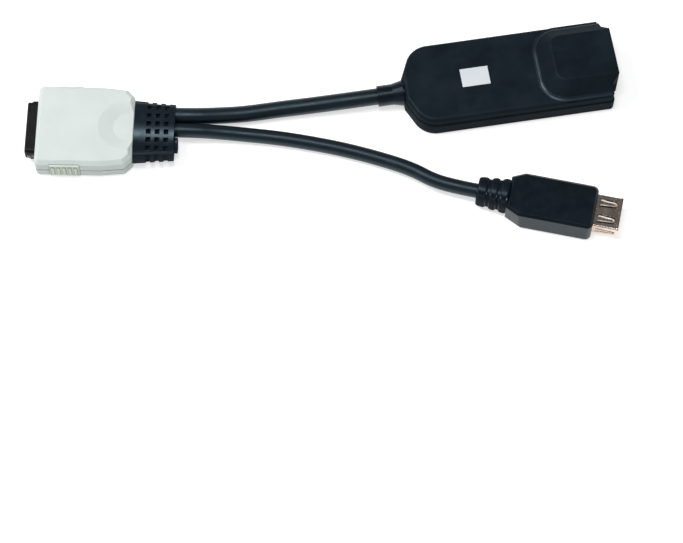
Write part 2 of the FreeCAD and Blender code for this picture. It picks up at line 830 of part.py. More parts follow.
def make_cable_header():
    """The wire-to-board plug that the adapter cable's wires end in."""
    body = new_body("cable_header")
    outline = new_sketch(body, "outline", "XY_Plane", BOARD_TOP)
    rectangle(outline, HEADER_START, HEADER_START + " + header_length",
              "-header_width / 2", "header_width / 2")
    pad(body, "shroud", outline, "header_height")


# Cable entry of the adapter

def make_adapter_strain_relief():
    """A sleeve turned about the cable, with a neck in the end wall and a flange inside."""
    body = new_body("adapter_strain_relief", "-adapter_length / 2", "0", "entry_height")
    profile = new_sketch(body, "profile", "XZ_Plane")
    bore = "(adapter_cable_radius + close_fit)"
    polygon(profile, [
        ("-sleeve_length", bore),
        ("-sleeve_length", "sleeve_radius"),
        ("-sleeve_flare_length", "sleeve_radius"),
        ("-fit", "sleeve_flare_radius"),
        ("-fit", "sleeve_neck_radius"),
        ("cover_wall + fit", "sleeve_neck_radius"),
        ("cover_wall + fit", bore),
    ])
    revolve(body, "sleeve", profile)
    flange = new_sketch(body, "flange_outline", "YZ_Plane", "cover_wall + fit")
    rectangle(flange, "-sleeve_flange_width / 2", "sleeve_flange_width / 2",
              "-sleeve_flange_height / 2", "sleeve_flange_height / 2")
    pad(body, "flange", flange, "sleeve_flange_thickness")
    bore_end = new_sketch(body, "bore_outline", "YZ_Plane", "cover_wall")
    circle(bore_end, "0", "0", bore)
    pocket(body, "flange_bore", bore_end, "sleeve_flange_thickness + 2 * fit",
           along_normal=True)


def make_adapter_wires():
    """The adapter cable's wires, from the end of its jacket to the header."""
    body = new_body("adapter_wires")
    jacket_end = ("(-adapter_length / 2 + cover_wall + fit + sleeve_flange_thickness"
                  " + jacket_stub)")
    ends = new_sketch(body, "wire_ends", "YZ_Plane", jacket_end)
    for place in range(-2, 3):
        circle(ends, "%d * wire_pitch" % place, "entry_height + 2 * wire_radius",
               "wire_radius")
    pad(body, "wires", ends, "%s - %s" % (HEADER_START, jacket_end))


# Network jack

def make_network_jack_housing():
    body = new_body("network_jack_housing")
    outline = new_sketch(body, "outline", "XY_Plane", JACK_BOTTOM)
    rectangle(outline, JACK_BACK + " + shield_thickness", JACK_FRONT,
              "-jack_width / 2 + shield_thickness", "jack_width / 2 - shield_thickness")
    pad(body, "block", outline, "jack_height - shield_thickness")
    mouth = new_sketch(body, "mouth", "YZ_Plane", JACK_FRONT)
    top = "(%s - mouth_roof)" % JACK_TOP
    low = "(%s - mouth_roof - mouth_height)" % JACK_TOP
    polygon(mouth, [
        ("-mouth_width / 2", top),
        ("-mouth_width / 2", low),
        ("-tab_width / 2", low),
        ("-tab_width / 2", low + " - tab_height"),
        ("-tab_slot_width / 2", low + " - tab_height"),
        ("-tab_slot_width / 2", low + " - tab_height - tab_slot_height"),
        ("tab_slot_width / 2", low + " - tab_height - tab_slot_height"),
        ("tab_slot_width / 2", low + " - tab_height"),
        ("tab_width / 2", low + " - tab_height"),
        ("tab_width / 2", low),
        ("mouth_width / 2", low),
        ("mouth_width / 2", top),
    ])
    pocket(body, "plug_room", mouth, "mouth_depth")


def make_network_jack_contacts():
    """Eight sprung wires that slope back from the mouth's roof."""
    body = new_body("network_jack_contacts")
    profile = new_sketch(body, "profile", "XZ_Plane",
                         "-(jack_wire_count - 1) / 2 * jack_pitch")
    roof = "(%s - mouth_roof - close_fit)" % JACK_TOP
    front = "(%s - jack_wire_setback)" % JACK_FRONT
    back = "(%s - mouth_depth + close_fit)" % JACK_FRONT
    polygon(profile, [
        (front, roof),
        (back, roof + " - jack_wire_drop"),
        (back, roof + " - jack_wire_drop - jack_wire"),
        (front, roof + " - jack_wire"),
    ])
    wire = pad(body, "wire", profile, "jack_wire", both_ways=True)
    row(body, "wires", wire, profile, "N_Axis", "jack_pitch", "jack_wire_count")


def make_network_jack_shield():
    """A thin folded can over the jack's top, sides and back."""
    body = new_body("network_jack_shield")
    outline = new_sketch(body, "outline", "XY_Plane", JACK_BOTTOM)
    rectangle(outline, JACK_BACK, JACK_FRONT, "-jack_width / 2", "jack_width / 2")
    pad(body, "can", outline, "jack_height")
    inside = new_sketch(body, "inside", "XY_Plane", JACK_BOTTOM)
    rectangle(inside, JACK_BACK + " + shield_thickness", JACK_FRONT,
              "-jack_width / 2 + shield_thickness", "jack_width / 2 - shield_thickness")
    pocket(body, "room", inside, "jack_height - shield_thickness", along_normal=True)


# Server plug

def plug_outline(sketch):
    """The plug from above: straight sides that draw in a little towards the back."""
    half = "(plug_width / 2)"
    back = "(plug_back_width / 2)"
    polygon(sketch, [
        ("0", "-" + half),
        ("plug_taper_start", "-" + half),
        ("plug_length - plug_corner", "-" + back),
        ("plug_length", "-%s + plug_corner" % back),
        ("plug_length", "%s - plug_corner" % back),
        ("plug_length - plug_corner", back),
        ("plug_taper_start", half),
        ("0", half),
    ])


def side_sign(side):
    return "" if side > 0 else "-"


def make_plug_shell(label, upward):
    """One moulded half of the plug's casing, with its open side at the middle height.

    The outer edge is bevelled, but for the upper half's front edge, which stays sharp.
    """
    body = plug_body(label)
    outline = new_sketch(body, "outline")
    plug_outline(outline)
    pad(body, "half", outline, "plug_height / 2", along_normal=upward)
    face = number("plug_height / 2") * (1 if upward else -1)
    corner = number("plug_length - plug_corner")
    round_edges(body, "back_corners", "plug_corner / 2",
                lambda box: upright(box) and box.XMin > corner - 0.01)
    round_edges(body, "front_corners", "plug_front_radius",
                lambda box: upright(box) and same(box.XMin, 0))
    bevel_edges(body, "outer_edge", "plug_bevel",
                lambda box: level_at(box, face) and (not upward or box.XMax > 0.01))

    hollow = new_sketch(body, "hollow")
    rectangle(hollow, "plug_wall", PLUG_CAVITY_END,
              "-plug_width / 2 + plug_wall", "plug_width / 2 - plug_wall")
    pocket(body, "room", hollow, "plug_height / 2 - plug_roof", along_normal=upward)
    nose = new_sketch(body, "nose_gate", "YZ_Plane", "-1")
    rectangle(nose, "-nose_width / 2 - fit", "nose_width / 2 + fit",
              "-nose_height / 2 - fit", "nose_height / 2 + fit")
    pocket(body, "nose_way", nose, "plug_wall + 2", along_normal=True)
    seat = new_sketch(body, "nose_flange_gate")
    rectangle(seat, "nose_flange_start - close_fit",
              "nose_flange_start + nose_flange_thickness + close_fit",
              "-nose_flange_width / 2 - fit", "nose_flange_width / 2 + fit")
    pocket(body, "nose_seat", seat, "nose_flange_height / 2 + close_fit",
           along_normal=upward)
    neck = new_sketch(body, "boot_neck_gate", "YZ_Plane", PLUG_CAVITY_END + " - 1")
    rectangle(neck, "-boot_neck_width / 2 - close_fit", "boot_neck_width / 2 + close_fit",
              "-boot_neck_height / 2 - close_fit", "boot_neck_height / 2 + close_fit")
    pocket(body, "boot_way", neck, "plug_length", along_normal=True)
    groove = new_sketch(body, "boot_flange_gate")
    boot_flange_place = "(plug_length - boot_neck_reach)"
    rectangle(groove, boot_flange_place + " - close_fit",
              boot_flange_place + " + boot_flange_thickness + close_fit",
              "-boot_flange_width / 2 - close_fit", "boot_flange_width / 2 + close_fit")
    pocket(body, "boot_seat", groove, "boot_flange_height / 2 + close_fit",
           along_normal=upward)
    for side in (1, -1):
        window = new_sketch(body, "button_window", "XZ_Plane",
                            side_sign(-side) + "(plug_width / 2 + 1)")
        rectangle(window, "button_start - fit", "button_start + button_length + fit",
                  "-button_height / 2 - fit", "button_height / 2 + fit")
        pocket(body, "button_way", window, "plug_wall + 1 + button_travel + fit",
               along_normal=side > 0)
    return body


def make_plug_upper_shell():
    """The upper half, with the thumb scoop at its back end."""
    body = make_plug_shell("plug_upper_shell", True)
    brim = new_sketch(body, "scoop_brim", "XY_Plane", "plug_height / 2")
    rounded_rectangle(brim, "plug_length - scoop_length", "plug_length + scoop_width",
                      "-scoop_width / 2", "scoop_width / 2", "scoop_width / 2.01")
    floor = new_sketch(body, "scoop_floor", "XY_Plane", "plug_height / 2 - scoop_depth")
    floor_side = "(scoop_width / 2 - scoop_side_slope)"
    rounded_rectangle(floor, "plug_length - scoop_length + scoop_end_slope",
                      "plug_length + scoop_width",
                      "-" + floor_side, floor_side, "%s / 1.005" % floor_side)
    loft_cut(body, "scoop", brim, floor)


def make_plug_lower_shell():
    """The lower half, with the pins that the latch arms turn on."""
    body = make_plug_shell("plug_lower_shell", False)
    pins = new_sketch(body, "pins", "XY_Plane", "-plug_height / 2 + plug_roof / 2")
    for side in (1, -1):
        circle(pins, LATCH_PIVOT, side_sign(side) + "latch_side", "latch_pin_radius")
    pad(body, "latch_pins", pins, "plug_height / 2 - plug_roof / 2 + latch_height / 2")


def make_plug_connector_housing():
    """The connector block: a black nose in front of the casing and a flange inside it."""
    body = plug_body("plug_connector_housing")
    nose = new_sketch(body, "nose_outline", "YZ_Plane", "-nose_reach")
    rounded_rectangle(nose, "-nose_width / 2 + nose_step", "nose_width / 2 - nose_step",
                      "-nose_height / 2 + nose_step", "nose_height / 2 - nose_step",
                      "nose_radius")
    pad(body, "nose", nose, "nose_reach")
    tip = number("-nose_reach")
    round_edges(body, "nose_edge", "nose_edge_radius",
                lambda box: same(box.XMin, tip) and same(box.XMax, tip))
    collar = new_sketch(body, "collar_outline", "YZ_Plane", "-nose_reach + nose_collar")
    rounded_rectangle(collar, "-nose_width / 2", "nose_width / 2",
                      "-nose_height / 2", "nose_height / 2", "nose_radius")
    pad(body, "block", collar, "nose_reach - nose_collar + nose_depth")
    flange = new_sketch(body, "flange_outline", "YZ_Plane", "nose_flange_start")
    rectangle(flange, "-nose_flange_width / 2", "nose_flange_width / 2",
              "-nose_flange_height / 2", "nose_flange_height / 2")
    pad(body, "flange", flange, "nose_flange_thickness")
    mouth = new_sketch(body, "mouth", "YZ_Plane", "-nose_reach")
    rectangle(mouth, "-nose_slot_width / 2", "nose_slot_width / 2",
              "-nose_slot_height / 2", "nose_slot_height / 2")
    pocket(body, "mating_slot", mouth, "nose_slot_depth", along_normal=True)
    bores = new_sketch(body, "contact_bores", "YZ_Plane", "0")
    contact_row(bores, "contact_width / 2 + close_fit", "contact_thickness + close_fit")
    pocket(body, "contact_ways", bores, "2 * nose_depth", along_normal=True)
    for side in (1, -1):
        slot = new_sketch(body, "latch_slot", "XY_Plane", "-latch_height / 2 - fit")
        inner = "(latch_side - latch_slot_depth)"
        low, high = inner, "nose_flange_width"
        if side < 0:
            low, high = "-nose_flange_width", "-" + inner
        rectangle(slot, "-nose_reach + nose_step", "nose_depth + 1", low, high)
        pocket(body, "latch_way", slot, "latch_height + 2 * fit", along_normal=True)


def contact_row(sketch, half_width, thickness):
    """Two rows of narrow rectangles, against the slot's upper and lower faces."""
    edge = "(nose_slot_height / 2)"
    count = int(number("contact_count"))
    for place in range(count):
        centre = "((%d - (contact_count - 1) / 2) * contact_pitch)" % place
        for sign in ("", "-"):
            near = "%s(%s - close_fit)" % (sign, edge)
            far = "%s(%s - close_fit + %s)" % (sign, edge, thickness)
            low, high = (near, far) if sign == "" else (far, near)
            rectangle(sketch, "%s - (%s)" % (centre, half_width),
                      "%s + (%s)" % (centre, half_width), low, high)


def make_plug_contacts():
    """Two rows of flat contacts through the connector block."""
    body = plug_body("plug_contacts")
    ends = new_sketch(body, "contact_ends", "YZ_Plane", "0")
    contact_row(ends, "contact_width / 2", "contact_thickness")
    pad(body, "blades", ends, "contact_length - nose_reach")


def make_plug_wires():
    """The lead's wires between the contacts' tails and the strain relief."""
    body = plug_body("plug_wires")
    start = "(contact_length - nose_reach)"
    ends = new_sketch(body, "wire_ends", "YZ_Plane", start)
    for place in range(-3, 4):
        for sign in ("", "-"):
            circle(ends, "%d * wire_pitch" % place,
                   "%s(nose_slot_height / 2 + wire_radius / 2)" % sign, "wire_radius")
    pad(body, "wires", ends, "plug_length - boot_neck_reach - " + start)


# Release buttons and latch arms

def make_release_button(label, side):
    """A ribbed button in a window of the casing, with a flange behind and a foot."""
    body = plug_body(label)
    sign = side_sign(side)

    def across(inner, outer):
        """Two formulas in order, mirrored for the side at -Y."""
        if side > 0:
            return inner, outer
        return "-(%s)" % outer, "-(%s)" % inner

    face = "plug_width / 2 + button_proud"
    flange_outer = "plug_width / 2 - plug_wall - fit"
    flange_inner = flange_outer + " - button_flange_thickness"
    middle = "(button_start + button_length / 2)"
    wall_inside = "plug_width / 2 - plug_wall"
    cap = new_sketch(body, "cap_outline", "XY_Plane")
    rectangle(cap, "button_start", "button_start + button_length",
              *across(wall_inside, face))
    pad(body, "cap", cap, "button_height", both_ways=True)
    outer = number("%s(%s)" % (sign, face))
    round_edges(body, "cap_edge", "button_proud * 0.8",
                lambda box: same(box.YMin, outer) and same(box.YMax, outer))
    stem = new_sketch(body, "stem_outline", "XY_Plane")
    rectangle(stem, "button_start", "button_start + button_length",
              *across(flange_inner, face + " - plug_wall / 2"))
    pad(body, "stem", stem, "button_flange_height", both_ways=True)
    flange = new_sketch(body, "flange_outline", "XY_Plane")
    rectangle(flange, middle + " - button_flange_length / 2",
              middle + " + button_flange_length / 2", *across(flange_inner, flange_outer))
    pad(body, "flange", flange, "button_flange_height", both_ways=True)
    foot = new_sketch(body, "foot_outline", "XY_Plane")
    rectangle(foot, middle + " - button_foot_length / 2", middle + " + button_foot_length / 2",
              *across("latch_side + latch_thickness / 2 + fit", flange_inner))
    pad(body, "foot", foot, "button_foot_height", both_ways=True)
    rib = new_sketch(body, "rib_outline", "XY_Plane")
    start = "(%s - (button_ribs - 1) / 2 * button_rib_pitch - button_rib_width / 2)" % middle
    rectangle(rib, start, start + " + button_rib_width",
              *across(face + " - button_rib_height", face + " + button_rib_height"))
    first = pad(body, "rib", rib, "button_rib_length", both_ways=True)
    row(body, "ribs", first, rib, "H_Axis", "button_rib_pitch", "button_ribs")


def make_latch(label, side):
    """A sprung steel arm: an eye on its pin, a flat arm and a hook beside the nose."""
    body = new_body(label, "plug_x", "plug_y", "plug_height / 2", "plug_turn")

    def mirrored(corners):
        return corners if side > 0 else [(x, "-(%s)" % y) for x, y in corners]

    inner = "latch_side - latch_thickness / 2"
    outer = "latch_side + latch_thickness / 2"
    tip = "-latch_reach"
    arm = new_sketch(body, "arm_outline")
    polygon(arm, mirrored([
        (LATCH_PIVOT, inner),
        (LATCH_PIVOT, outer),
        (tip + " + latch_hook_length", outer),
        (tip + " + latch_hook_length", outer + " + latch_hook"),
        (tip + " + latch_hook_length / 2", outer + " + latch_hook"),
        (tip, outer),
        (tip, inner),
    ]))
    pad(body, "arm", arm, "latch_height", both_ways=True)
    eye = new_sketch(body, "eye_outline")
    circle(eye, LATCH_PIVOT, side_sign(side) + "latch_side", "latch_eye_radius")
    pad(body, "eye", eye, "latch_height", both_ways=True)
    bore = new_sketch(body, "bore_outline")
    circle(bore, LATCH_PIVOT, side_sign(side) + "latch_side",
           "latch_pin_radius + close_fit")
    pocket(body, "bore", bore, "latch_height + 1", both_ways=True)


# Strain relief of the plug

def make_plug_strain_relief():
    """One soft moulding: a flanged neck in the casing and a windowed, tapering boot."""
    body = plug_body("plug_strain_relief")
    start = new_sketch(body, "start", "YZ_Plane", "plug_length + close_fit")
    crowned_outline(start, "boot_width", "boot_height", "boot_crown")
    end = new_sketch(body, "end", "YZ_Plane", "plug_length + boot_length")
    crowned_outline(end, "boot_end_width", "boot_end_height", "boot_crown")
    loft(body, "boot", start, end)
    neck = new_sketch(body, "neck_outline", "YZ_Plane", "plug_length - boot_neck_reach")
    rectangle(neck, "-boot_neck_width / 2", "boot_neck_width / 2",
              "-boot_neck_height / 2", "boot_neck_height / 2")
    pad(body, "neck", neck, "boot_neck_reach + 1")
    flange = new_sketch(body, "flange_outline", "YZ_Plane", "plug_length - boot_neck_reach")
    rectangle(flange, "-boot_flange_width / 2", "boot_flange_width / 2",
              "-boot_flange_height / 2", "boot_flange_height / 2")
    pad(body, "flange", flange, "boot_flange_thickness")

    first_x = "(plug_length + boot_collar)"
    first_y = "(-(window_rows - 1) / 2 * window_pitch_across - window_width / 2)"
    for name, height, downward in (("upper", "boot_height / 2", False),
                                   ("lower", "-boot_height / 2", True)):
        window = new_sketch(body, name + "_window", "XY_Plane", height)
        rectangle(window, first_x, first_x + " + window_length",
                  first_y, first_y + " + window_width")
        cut = pocket(body, name + "_cut", window, "window_depth", along_normal=downward)
        grid(body, name + "_windows", cut, window, ("window_pitch_along", "window_columns"),
             ("window_pitch_across", "window_rows"))
    for side in (1, -1):
        sign = side_sign(-side)
        window = new_sketch(body, "side_window", "XZ_Plane", sign + "boot_width / 2")
        rectangle(window, first_x, first_x + " + window_length",
                  "-side_window_height / 2", "side_window_height / 2")
        cut = pocket(body, "side_cut", window,
                     "side_window_depth + (boot_width - boot_end_width) / 2 * 0.6",
                     along_normal=side > 0)
        row(body, "side_windows", cut, window, "H_Axis", "window_pitch_along",
            "window_columns")

    # A third port has no lead: it ends in a short, dished stub.
    stub = new_sketch(body, "blank_port", "YZ_Plane", "plug_length + boot_length - 1")
    circle(stub, "blank_port_offset", "0", "blank_port_radius")
    pad(body, "blank", stub, "blank_port_reach + 1")
    dish = new_sketch(body, "blank_dish", "YZ_Plane",
                      "plug_length + boot_length + blank_port_reach")
    circle(dish, "blank_port_offset", "0", "blank_port_dish_radius")
    pocket(body, "dish", dish, "blank_port_dish_depth")


# USB socket

def relief_outline(sketch, place, inset):
    """The strain relief's section at a place along it: it grows towards the grip."""
    share = "((%s) / usb_relief_length)" % place
    across, up = ["(usb_relief_start_%s / 2 - (%s) + (usb_relief_end_%s"
                  " - usb_relief_start_%s) / 2 * %s)" % (word, inset, word, word, share)
                  for word in ("width", "height")]
    rounded_rectangle(sketch, "-" + across, across, "-" + up, up,
                      "usb_relief_radius - (%s)" % inset)


def make_usb_overmould():
    """One moulding: ringed strain relief, shouldered grip and the seat of the shell."""
    body = usb_body("usb_overmould")
    front = "(usb_relief_length + usb_body_length)"
    shoulder = "(usb_relief_length + usb_shoulder_length)"
    side = "(usb_body_width / 2 + usb_draft)"
    outline = new_sketch(body, "outline", "XY_Plane", "-usb_body_height / 2")
    polygon(outline, [
        ("usb_relief_length", "-usb_shoulder_width / 2"),
        (shoulder, "-" + side),
        (front, "-" + side),
        (front, side),
        (shoulder, side),
        ("usb_relief_length", "usb_shoulder_width / 2"),
    ])
    pad(body, "grip", outline, "usb_body_height")
    for sign in ("", "-"):
        draft = new_sketch(body, "draft", "YZ_Plane", "usb_relief_length")
        polygon(draft, [
            (sign + side, "-usb_body_height / 2"),
            (sign + "usb_body_width / 2", "usb_body_height / 2"),
            (sign + "usb_body_width", "usb_body_height / 2"),
            (sign + "usb_body_width", "-usb_body_height / 2"),
        ])
        pocket(body, "draft_cut", draft, "usb_body_length", along_normal=True)
    back = number("usb_relief_length")
    height = number("usb_body_height")
    round_edges(body, "corners", "usb_corner_radius",
                lambda box: same(box.ZLength, height) and box.XMin > back + 0.01)
    bevel_edges(body, "edges", "usb_edge",
                lambda box: level_at(box, height / 2) or level_at(box, -height / 2))

    start = new_sketch(body, "relief_start", "YZ_Plane")
    relief_outline(start, "0", "0")
    end = new_sketch(body, "relief_end", "YZ_Plane", "usb_relief_length")
    relief_outline(end, "usb_relief_length", "0")
    loft(body, "relief", start, end)
    for place in ("usb_first_groove", "usb_second_groove"):
        groove = new_sketch(body, "groove", "YZ_Plane", place)
        rectangle(groove, "-usb_body_width / 2", "usb_body_width / 2",
                  "-usb_body_height / 2 - 1", "usb_body_height / 2 + 1")
        relief_outline(groove, place, "usb_groove_depth")
        pocket(body, "ring_gap", groove, "usb_groove_width", along_normal=True)

    seat = new_sketch(body, "shell_seat", "YZ_Plane", front)
    rectangle(seat, "-usb_shell_width / 2 - close_fit", "usb_shell_width / 2 + close_fit",
              "-usb_shell_height / 2 - close_fit", "usb_shell_height / 2 + close_fit")
    pocket(body, "shell_way", seat, "usb_shell_length - usb_shell_proud + close_fit")


def make_usb_shell():
    """A folded metal shell with sprung fingers cut in its top, bottom and sides."""
    body = usb_body("usb_shell")
    outside = new_sketch(body, "outside", "YZ_Plane", SHELL_BACK)
    rounded_rectangle(outside, "-usb_shell_width / 2", "usb_shell_width / 2",
                      "-usb_shell_height / 2", "usb_shell_height / 2", "usb_shell_radius")
    pad(body, "tube", outside, "usb_shell_length")
    lip = new_sketch(body, "lip_outline", "YZ_Plane", SHELL_MOUTH + " - usb_lip_length")
    rounded_rectangle(lip, "-usb_shell_width / 2 - usb_lip_proud",
                      "usb_shell_width / 2 + usb_lip_proud",
                      "-usb_shell_height / 2 - usb_lip_proud",
                      "usb_shell_height / 2 + usb_lip_proud",
                      "usb_shell_radius + usb_lip_proud")
    pad(body, "lip", lip, "usb_lip_length")
    inside = new_sketch(body, "inside", "YZ_Plane", SHELL_BACK)
    rounded_rectangle(inside, "-usb_shell_width / 2 + usb_shell_wall",
                      "usb_shell_width / 2 - usb_shell_wall",
                      "-usb_shell_height / 2 + usb_shell_wall",
                      "usb_shell_height / 2 - usb_shell_wall",
                      "usb_shell_radius - usb_shell_wall")
    pocket(body, "room", inside, "usb_shell_length", along_normal=True)
    tip = "(%s - usb_finger_margin)" % SHELL_MOUTH
    root = "(%s - usb_finger_length)" % tip
    for name, middles, role, width, half in (
            ("flat", ("usb_finger_side", "-usb_finger_side"), "XY_Plane",
             "usb_finger_width", "usb_shell_height"),
            ("side", ("0",), "XZ_Plane", "usb_finger_width * 0.7", "usb_shell_width")):
        cuts = new_sketch(body, name + "_finger_cuts", role)
        for middle in middles:
            finger_cut(cuts, root, tip, middle, width)
        pocket(body, name + "_fingers", cuts, half + " + 2", both_ways=True)


def finger_cut(sketch, root, tip, middle, width):
    """A U-shaped cut that frees a tapering finger; it stays joined at its root."""
    outer = "(%s) / 2" % width
    inner = "((%s) / 2 - usb_finger_cut)" % width
    outer_tip = "((%s) / 2 - usb_finger_taper)" % width
    inner_tip = "((%s) / 2 - usb_finger_taper - usb_finger_cut)" % width
    polygon(sketch, [
        (root, "%s - %s" % (middle, outer)),
        (tip, "%s - %s" % (middle, outer_tip)),
        (tip, "%s + %s" % (middle, outer_tip)),
        (root, "%s + %s" % (middle, outer)),
        (root, "%s + %s" % (middle, inner)),
        (tip + " - usb_finger_cut", "%s + %s" % (middle, inner_tip)),
        (tip + " - usb_finger_cut", "%s - %s" % (middle, inner_tip)),
        (root, "%s - %s" % (middle, inner)),
    ])


def make_usb_insulator():
    """The plastic block at the back of the shell and the tongue that it carries."""
    body = usb_body("usb_insulator")
    block = new_sketch(body, "block_outline", "YZ_Plane", SHELL_BACK)
    rounded_rectangle(block, "-usb_shell_width / 2 + usb_shell_wall + close_fit",
                      "usb_shell_width / 2 - usb_shell_wall - close_fit",
                      "-usb_shell_height / 2 + usb_shell_wall + close_fit",
                      "usb_shell_height / 2 - usb_shell_wall - close_fit",
                      "usb_shell_radius - usb_shell_wall")
    pad(body, "block", block, "usb_shell_length - usb_shell_proud")
    tongue = new_sketch(body, "tongue_outline", "YZ_Plane", SHELL_BACK)
    top = "(usb_shell_height / 2 - usb_shell_wall - usb_tongue_gap)"
    rectangle(tongue, "-usb_tongue_width / 2", "usb_tongue_width / 2",
              top + " - usb_tongue_thickness", top)
    pad(body, "tongue", tongue, "usb_shell_length - usb_shell_proud + usb_tongue_reach")


def make_usb_contacts():
    """Four flat contacts on the tongue's underside."""
    body = usb_body("usb_contacts")
    under = ("(usb_shell_height / 2 - usb_shell_wall - usb_tongue_gap"
             " - usb_tongue_thickness)")
    start = "(%s + usb_shell_length - usb_shell_proud)" % SHELL_BACK
    ends = new_sketch(body, "contact_ends", "YZ_Plane", start)
    for place in (-1.5, -0.5, 0.5, 1.5):
        middle = "(%s * usb_contact_pitch)" % place
        rectangle(ends, middle + " - usb_contact_width / 2",
                  middle + " + usb_contact_width / 2",
                  under + " - usb_contact_thickness", under)
    pad(body, "strips", ends, "usb_contact_length")


# Cables

def in_plug_frame(along, across, height):
    """A place given in the plug's frame, as a place in the part's frame."""
    turn = Rotation(TURN_ABOUT_Z, number("plug_turn"))
    base = Vector(number("plug_x"), number("plug_y"), number("plug_height / 2"))
    return base + turn.multVec(Vector(along, across, height))


def in_usb_frame(along, across, height):
    """A place given in the USB socket's frame, as a place in the part's frame."""
    turn = Rotation(TURN_ABOUT_Z, number("usb_turn"))
    base = Vector(number("usb_x"), number("usb_y"), number("usb_centre_height"))
    return base + turn.multVec(Vector(along, across, height))


def rounded_route(points):
    """Straight runs joined by tangent arcs as large as the runs allow."""
    edges = []
    radii = []
    start = points[0]
    for before, corner, after in zip(points, points[1:], points[2:]):
        back = (before - corner).normalize()
        ahead = (after - corner).normalize()
        turn = math.pi - back.getAngle(ahead)
        reach = 0.45 * min(before.distanceToPoint(corner), corner.distanceToPoint(after))
        radius = reach / math.tan(turn / 2)
        first = corner + back * reach
        last = corner + ahead * reach
        inward = (back + ahead).normalize()
        middle = corner + inward * (radius / math.cos(turn / 2) - radius)
        edges.append(Part.LineSegment(start, first).toShape())
        edges.append(Part.Arc(first, middle, last).toShape())
        radii.append(radius)
        start = last
    edges.append(Part.LineSegment(start, points[-1]).toShape())
    return Part.Wire(edges), radii


def make_cable(label, points, radius):
    """A round cable swept along its route."""
    route, radii = rounded_route(points)
    ahead = points[1] - points[0]
    section = Part.Wire(Part.makeCircle(radius, points[0], ahead))
    tube = route.makePipeShell([section], True, False)
    expected = math.pi * radius ** 2 * route.Length
    if abs(tube.Volume / expected - 1) > 0.01:
        raise RuntimeError(label + " is not the volume of its section times its length")
    print(label, "length %.1f" % route.Length, "arc radii",
          ", ".join("%.0f" % value for value in radii))
    cable = doc.addObject("Part::Feature", label)
    cable.Label = label
    cable.Shape = tube
    cable.Placement = Placement()
    sub_parts.append(cable)


def make_cables():
    boot_end = number("plug_length + boot_length")
    upper = number("adapter_cable_offset")
    lower = number("usb_cable_offset")
    sleeve = number("-adapter_length / 2 - sleeve_length")
    jacket_end = number("-adapter_length / 2 + cover_wall + fit + sleeve_flange_thickness"
                        " + jacket_stub")
    entry = number("entry_height")
    straight = boot_end + number("lead_straight")
    make_cable("adapter_cable", [
        in_plug_frame(boot_end, upper, 0),
        in_plug_frame(straight, upper, 0),
        Vector(-107.4, 1.85, 3.95),
        Vector(-97.5, 1.3, 3.2),
        Vector(-85.0, 1.35, 3.15),
        Vector(-71.0, 0.8, 3.6),
        Vector(sleeve - 4.0, 0, entry),
        Vector(jacket_end, 0, entry),
    ], number("adapter_cable_radius"))
    make_cable("usb_cable", [
        in_plug_frame(boot_end, lower, 0),
        in_plug_frame(straight, lower, 0),
        Vector(-109.0, -4.6, 3.65),
        Vector(-99.0, -6.9, 2.9),
        Vector(-87.0, -10.1, 2.75),
        Vector(-75.0, -14.2, 2.75),
        Vector(-63.0, -18.9, 2.8),
        Vector(-51.5, -24.4, 3.0),
        Vector(-40.5, -30.7, 3.7),
        in_usb_frame(-16.0, 0.75, -0.15),
        in_usb_frame(-5.9, 0, 0),
        in_usb_frame(0, 0, 0),
    ], number("usb_cable_radius"))


# Build, check and write

def make_all():
    make_adapter_top_cover()
    make_adapter_bottom_cover()
    make_cover_screws()
    make_adapter_circuit_board()
    make_processor_chip()
    make_board_components()
    make_cable_header()
    make_adapter_strain_relief()
    make_adapter_wires()
    make_network_jack_housing()
    make_network_jack_contacts()
    make_network_jack_shield()
    make_plug_upper_shell()
    make_plug_lower_shell()
    make_plug_connector_housing()
    make_plug_contacts()
    make_plug_wires()
    make_release_button("release_button_left", 1)
    make_release_button("release_button_right", -1)
    make_latch("latch_left", 1)
    make_latch("latch_right", -1)
    make_plug_strain_relief()
    make_usb_overmould()
    make_usb_shell()
    make_usb_insulator()
    make_usb_contacts()
    make_cables()


def check_all():
    for item in doc.Objects:
        if "Invalid" in item.State or "Error" in item.State:
            raise RuntimeError("%s failed: %s" % (item.Name, item.State))
    for item in sub_parts:
        if item.Shape.isNull() or not item.Shape.isValid():
            raise RuntimeError(item.Label + " has no valid shape")


def write_all():
    os.makedirs("parts", exist_ok=True)
    for item in sub_parts:
        item.Shape.exportStep("parts/%s.step" % item.Label)


fill_sheet()
make_all()
doc.recompute()
check_all()
write_all()
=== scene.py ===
"""The looks of the console adapter lead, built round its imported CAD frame.

Everything is in metres, in the part's own frame: +X runs along the adapter box towards its
network jack, +Z is up, and the part lies on the plane z = 0.
"""

import json
import math

import bpy
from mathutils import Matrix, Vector


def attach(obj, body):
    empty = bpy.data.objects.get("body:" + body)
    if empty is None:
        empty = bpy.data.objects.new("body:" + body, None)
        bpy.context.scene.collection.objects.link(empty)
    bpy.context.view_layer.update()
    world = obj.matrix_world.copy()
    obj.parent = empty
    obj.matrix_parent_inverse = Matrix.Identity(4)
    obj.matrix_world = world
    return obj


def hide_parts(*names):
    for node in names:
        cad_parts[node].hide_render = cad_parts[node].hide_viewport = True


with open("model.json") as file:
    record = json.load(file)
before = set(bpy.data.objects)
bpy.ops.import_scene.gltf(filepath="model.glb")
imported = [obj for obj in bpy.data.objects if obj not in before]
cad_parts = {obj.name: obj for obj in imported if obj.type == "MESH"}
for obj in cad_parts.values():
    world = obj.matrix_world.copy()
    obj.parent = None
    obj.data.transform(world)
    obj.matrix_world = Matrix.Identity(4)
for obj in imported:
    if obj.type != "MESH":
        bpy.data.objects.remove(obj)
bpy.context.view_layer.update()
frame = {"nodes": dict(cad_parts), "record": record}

BODY = "casing"
MM = 0.001


# Camera

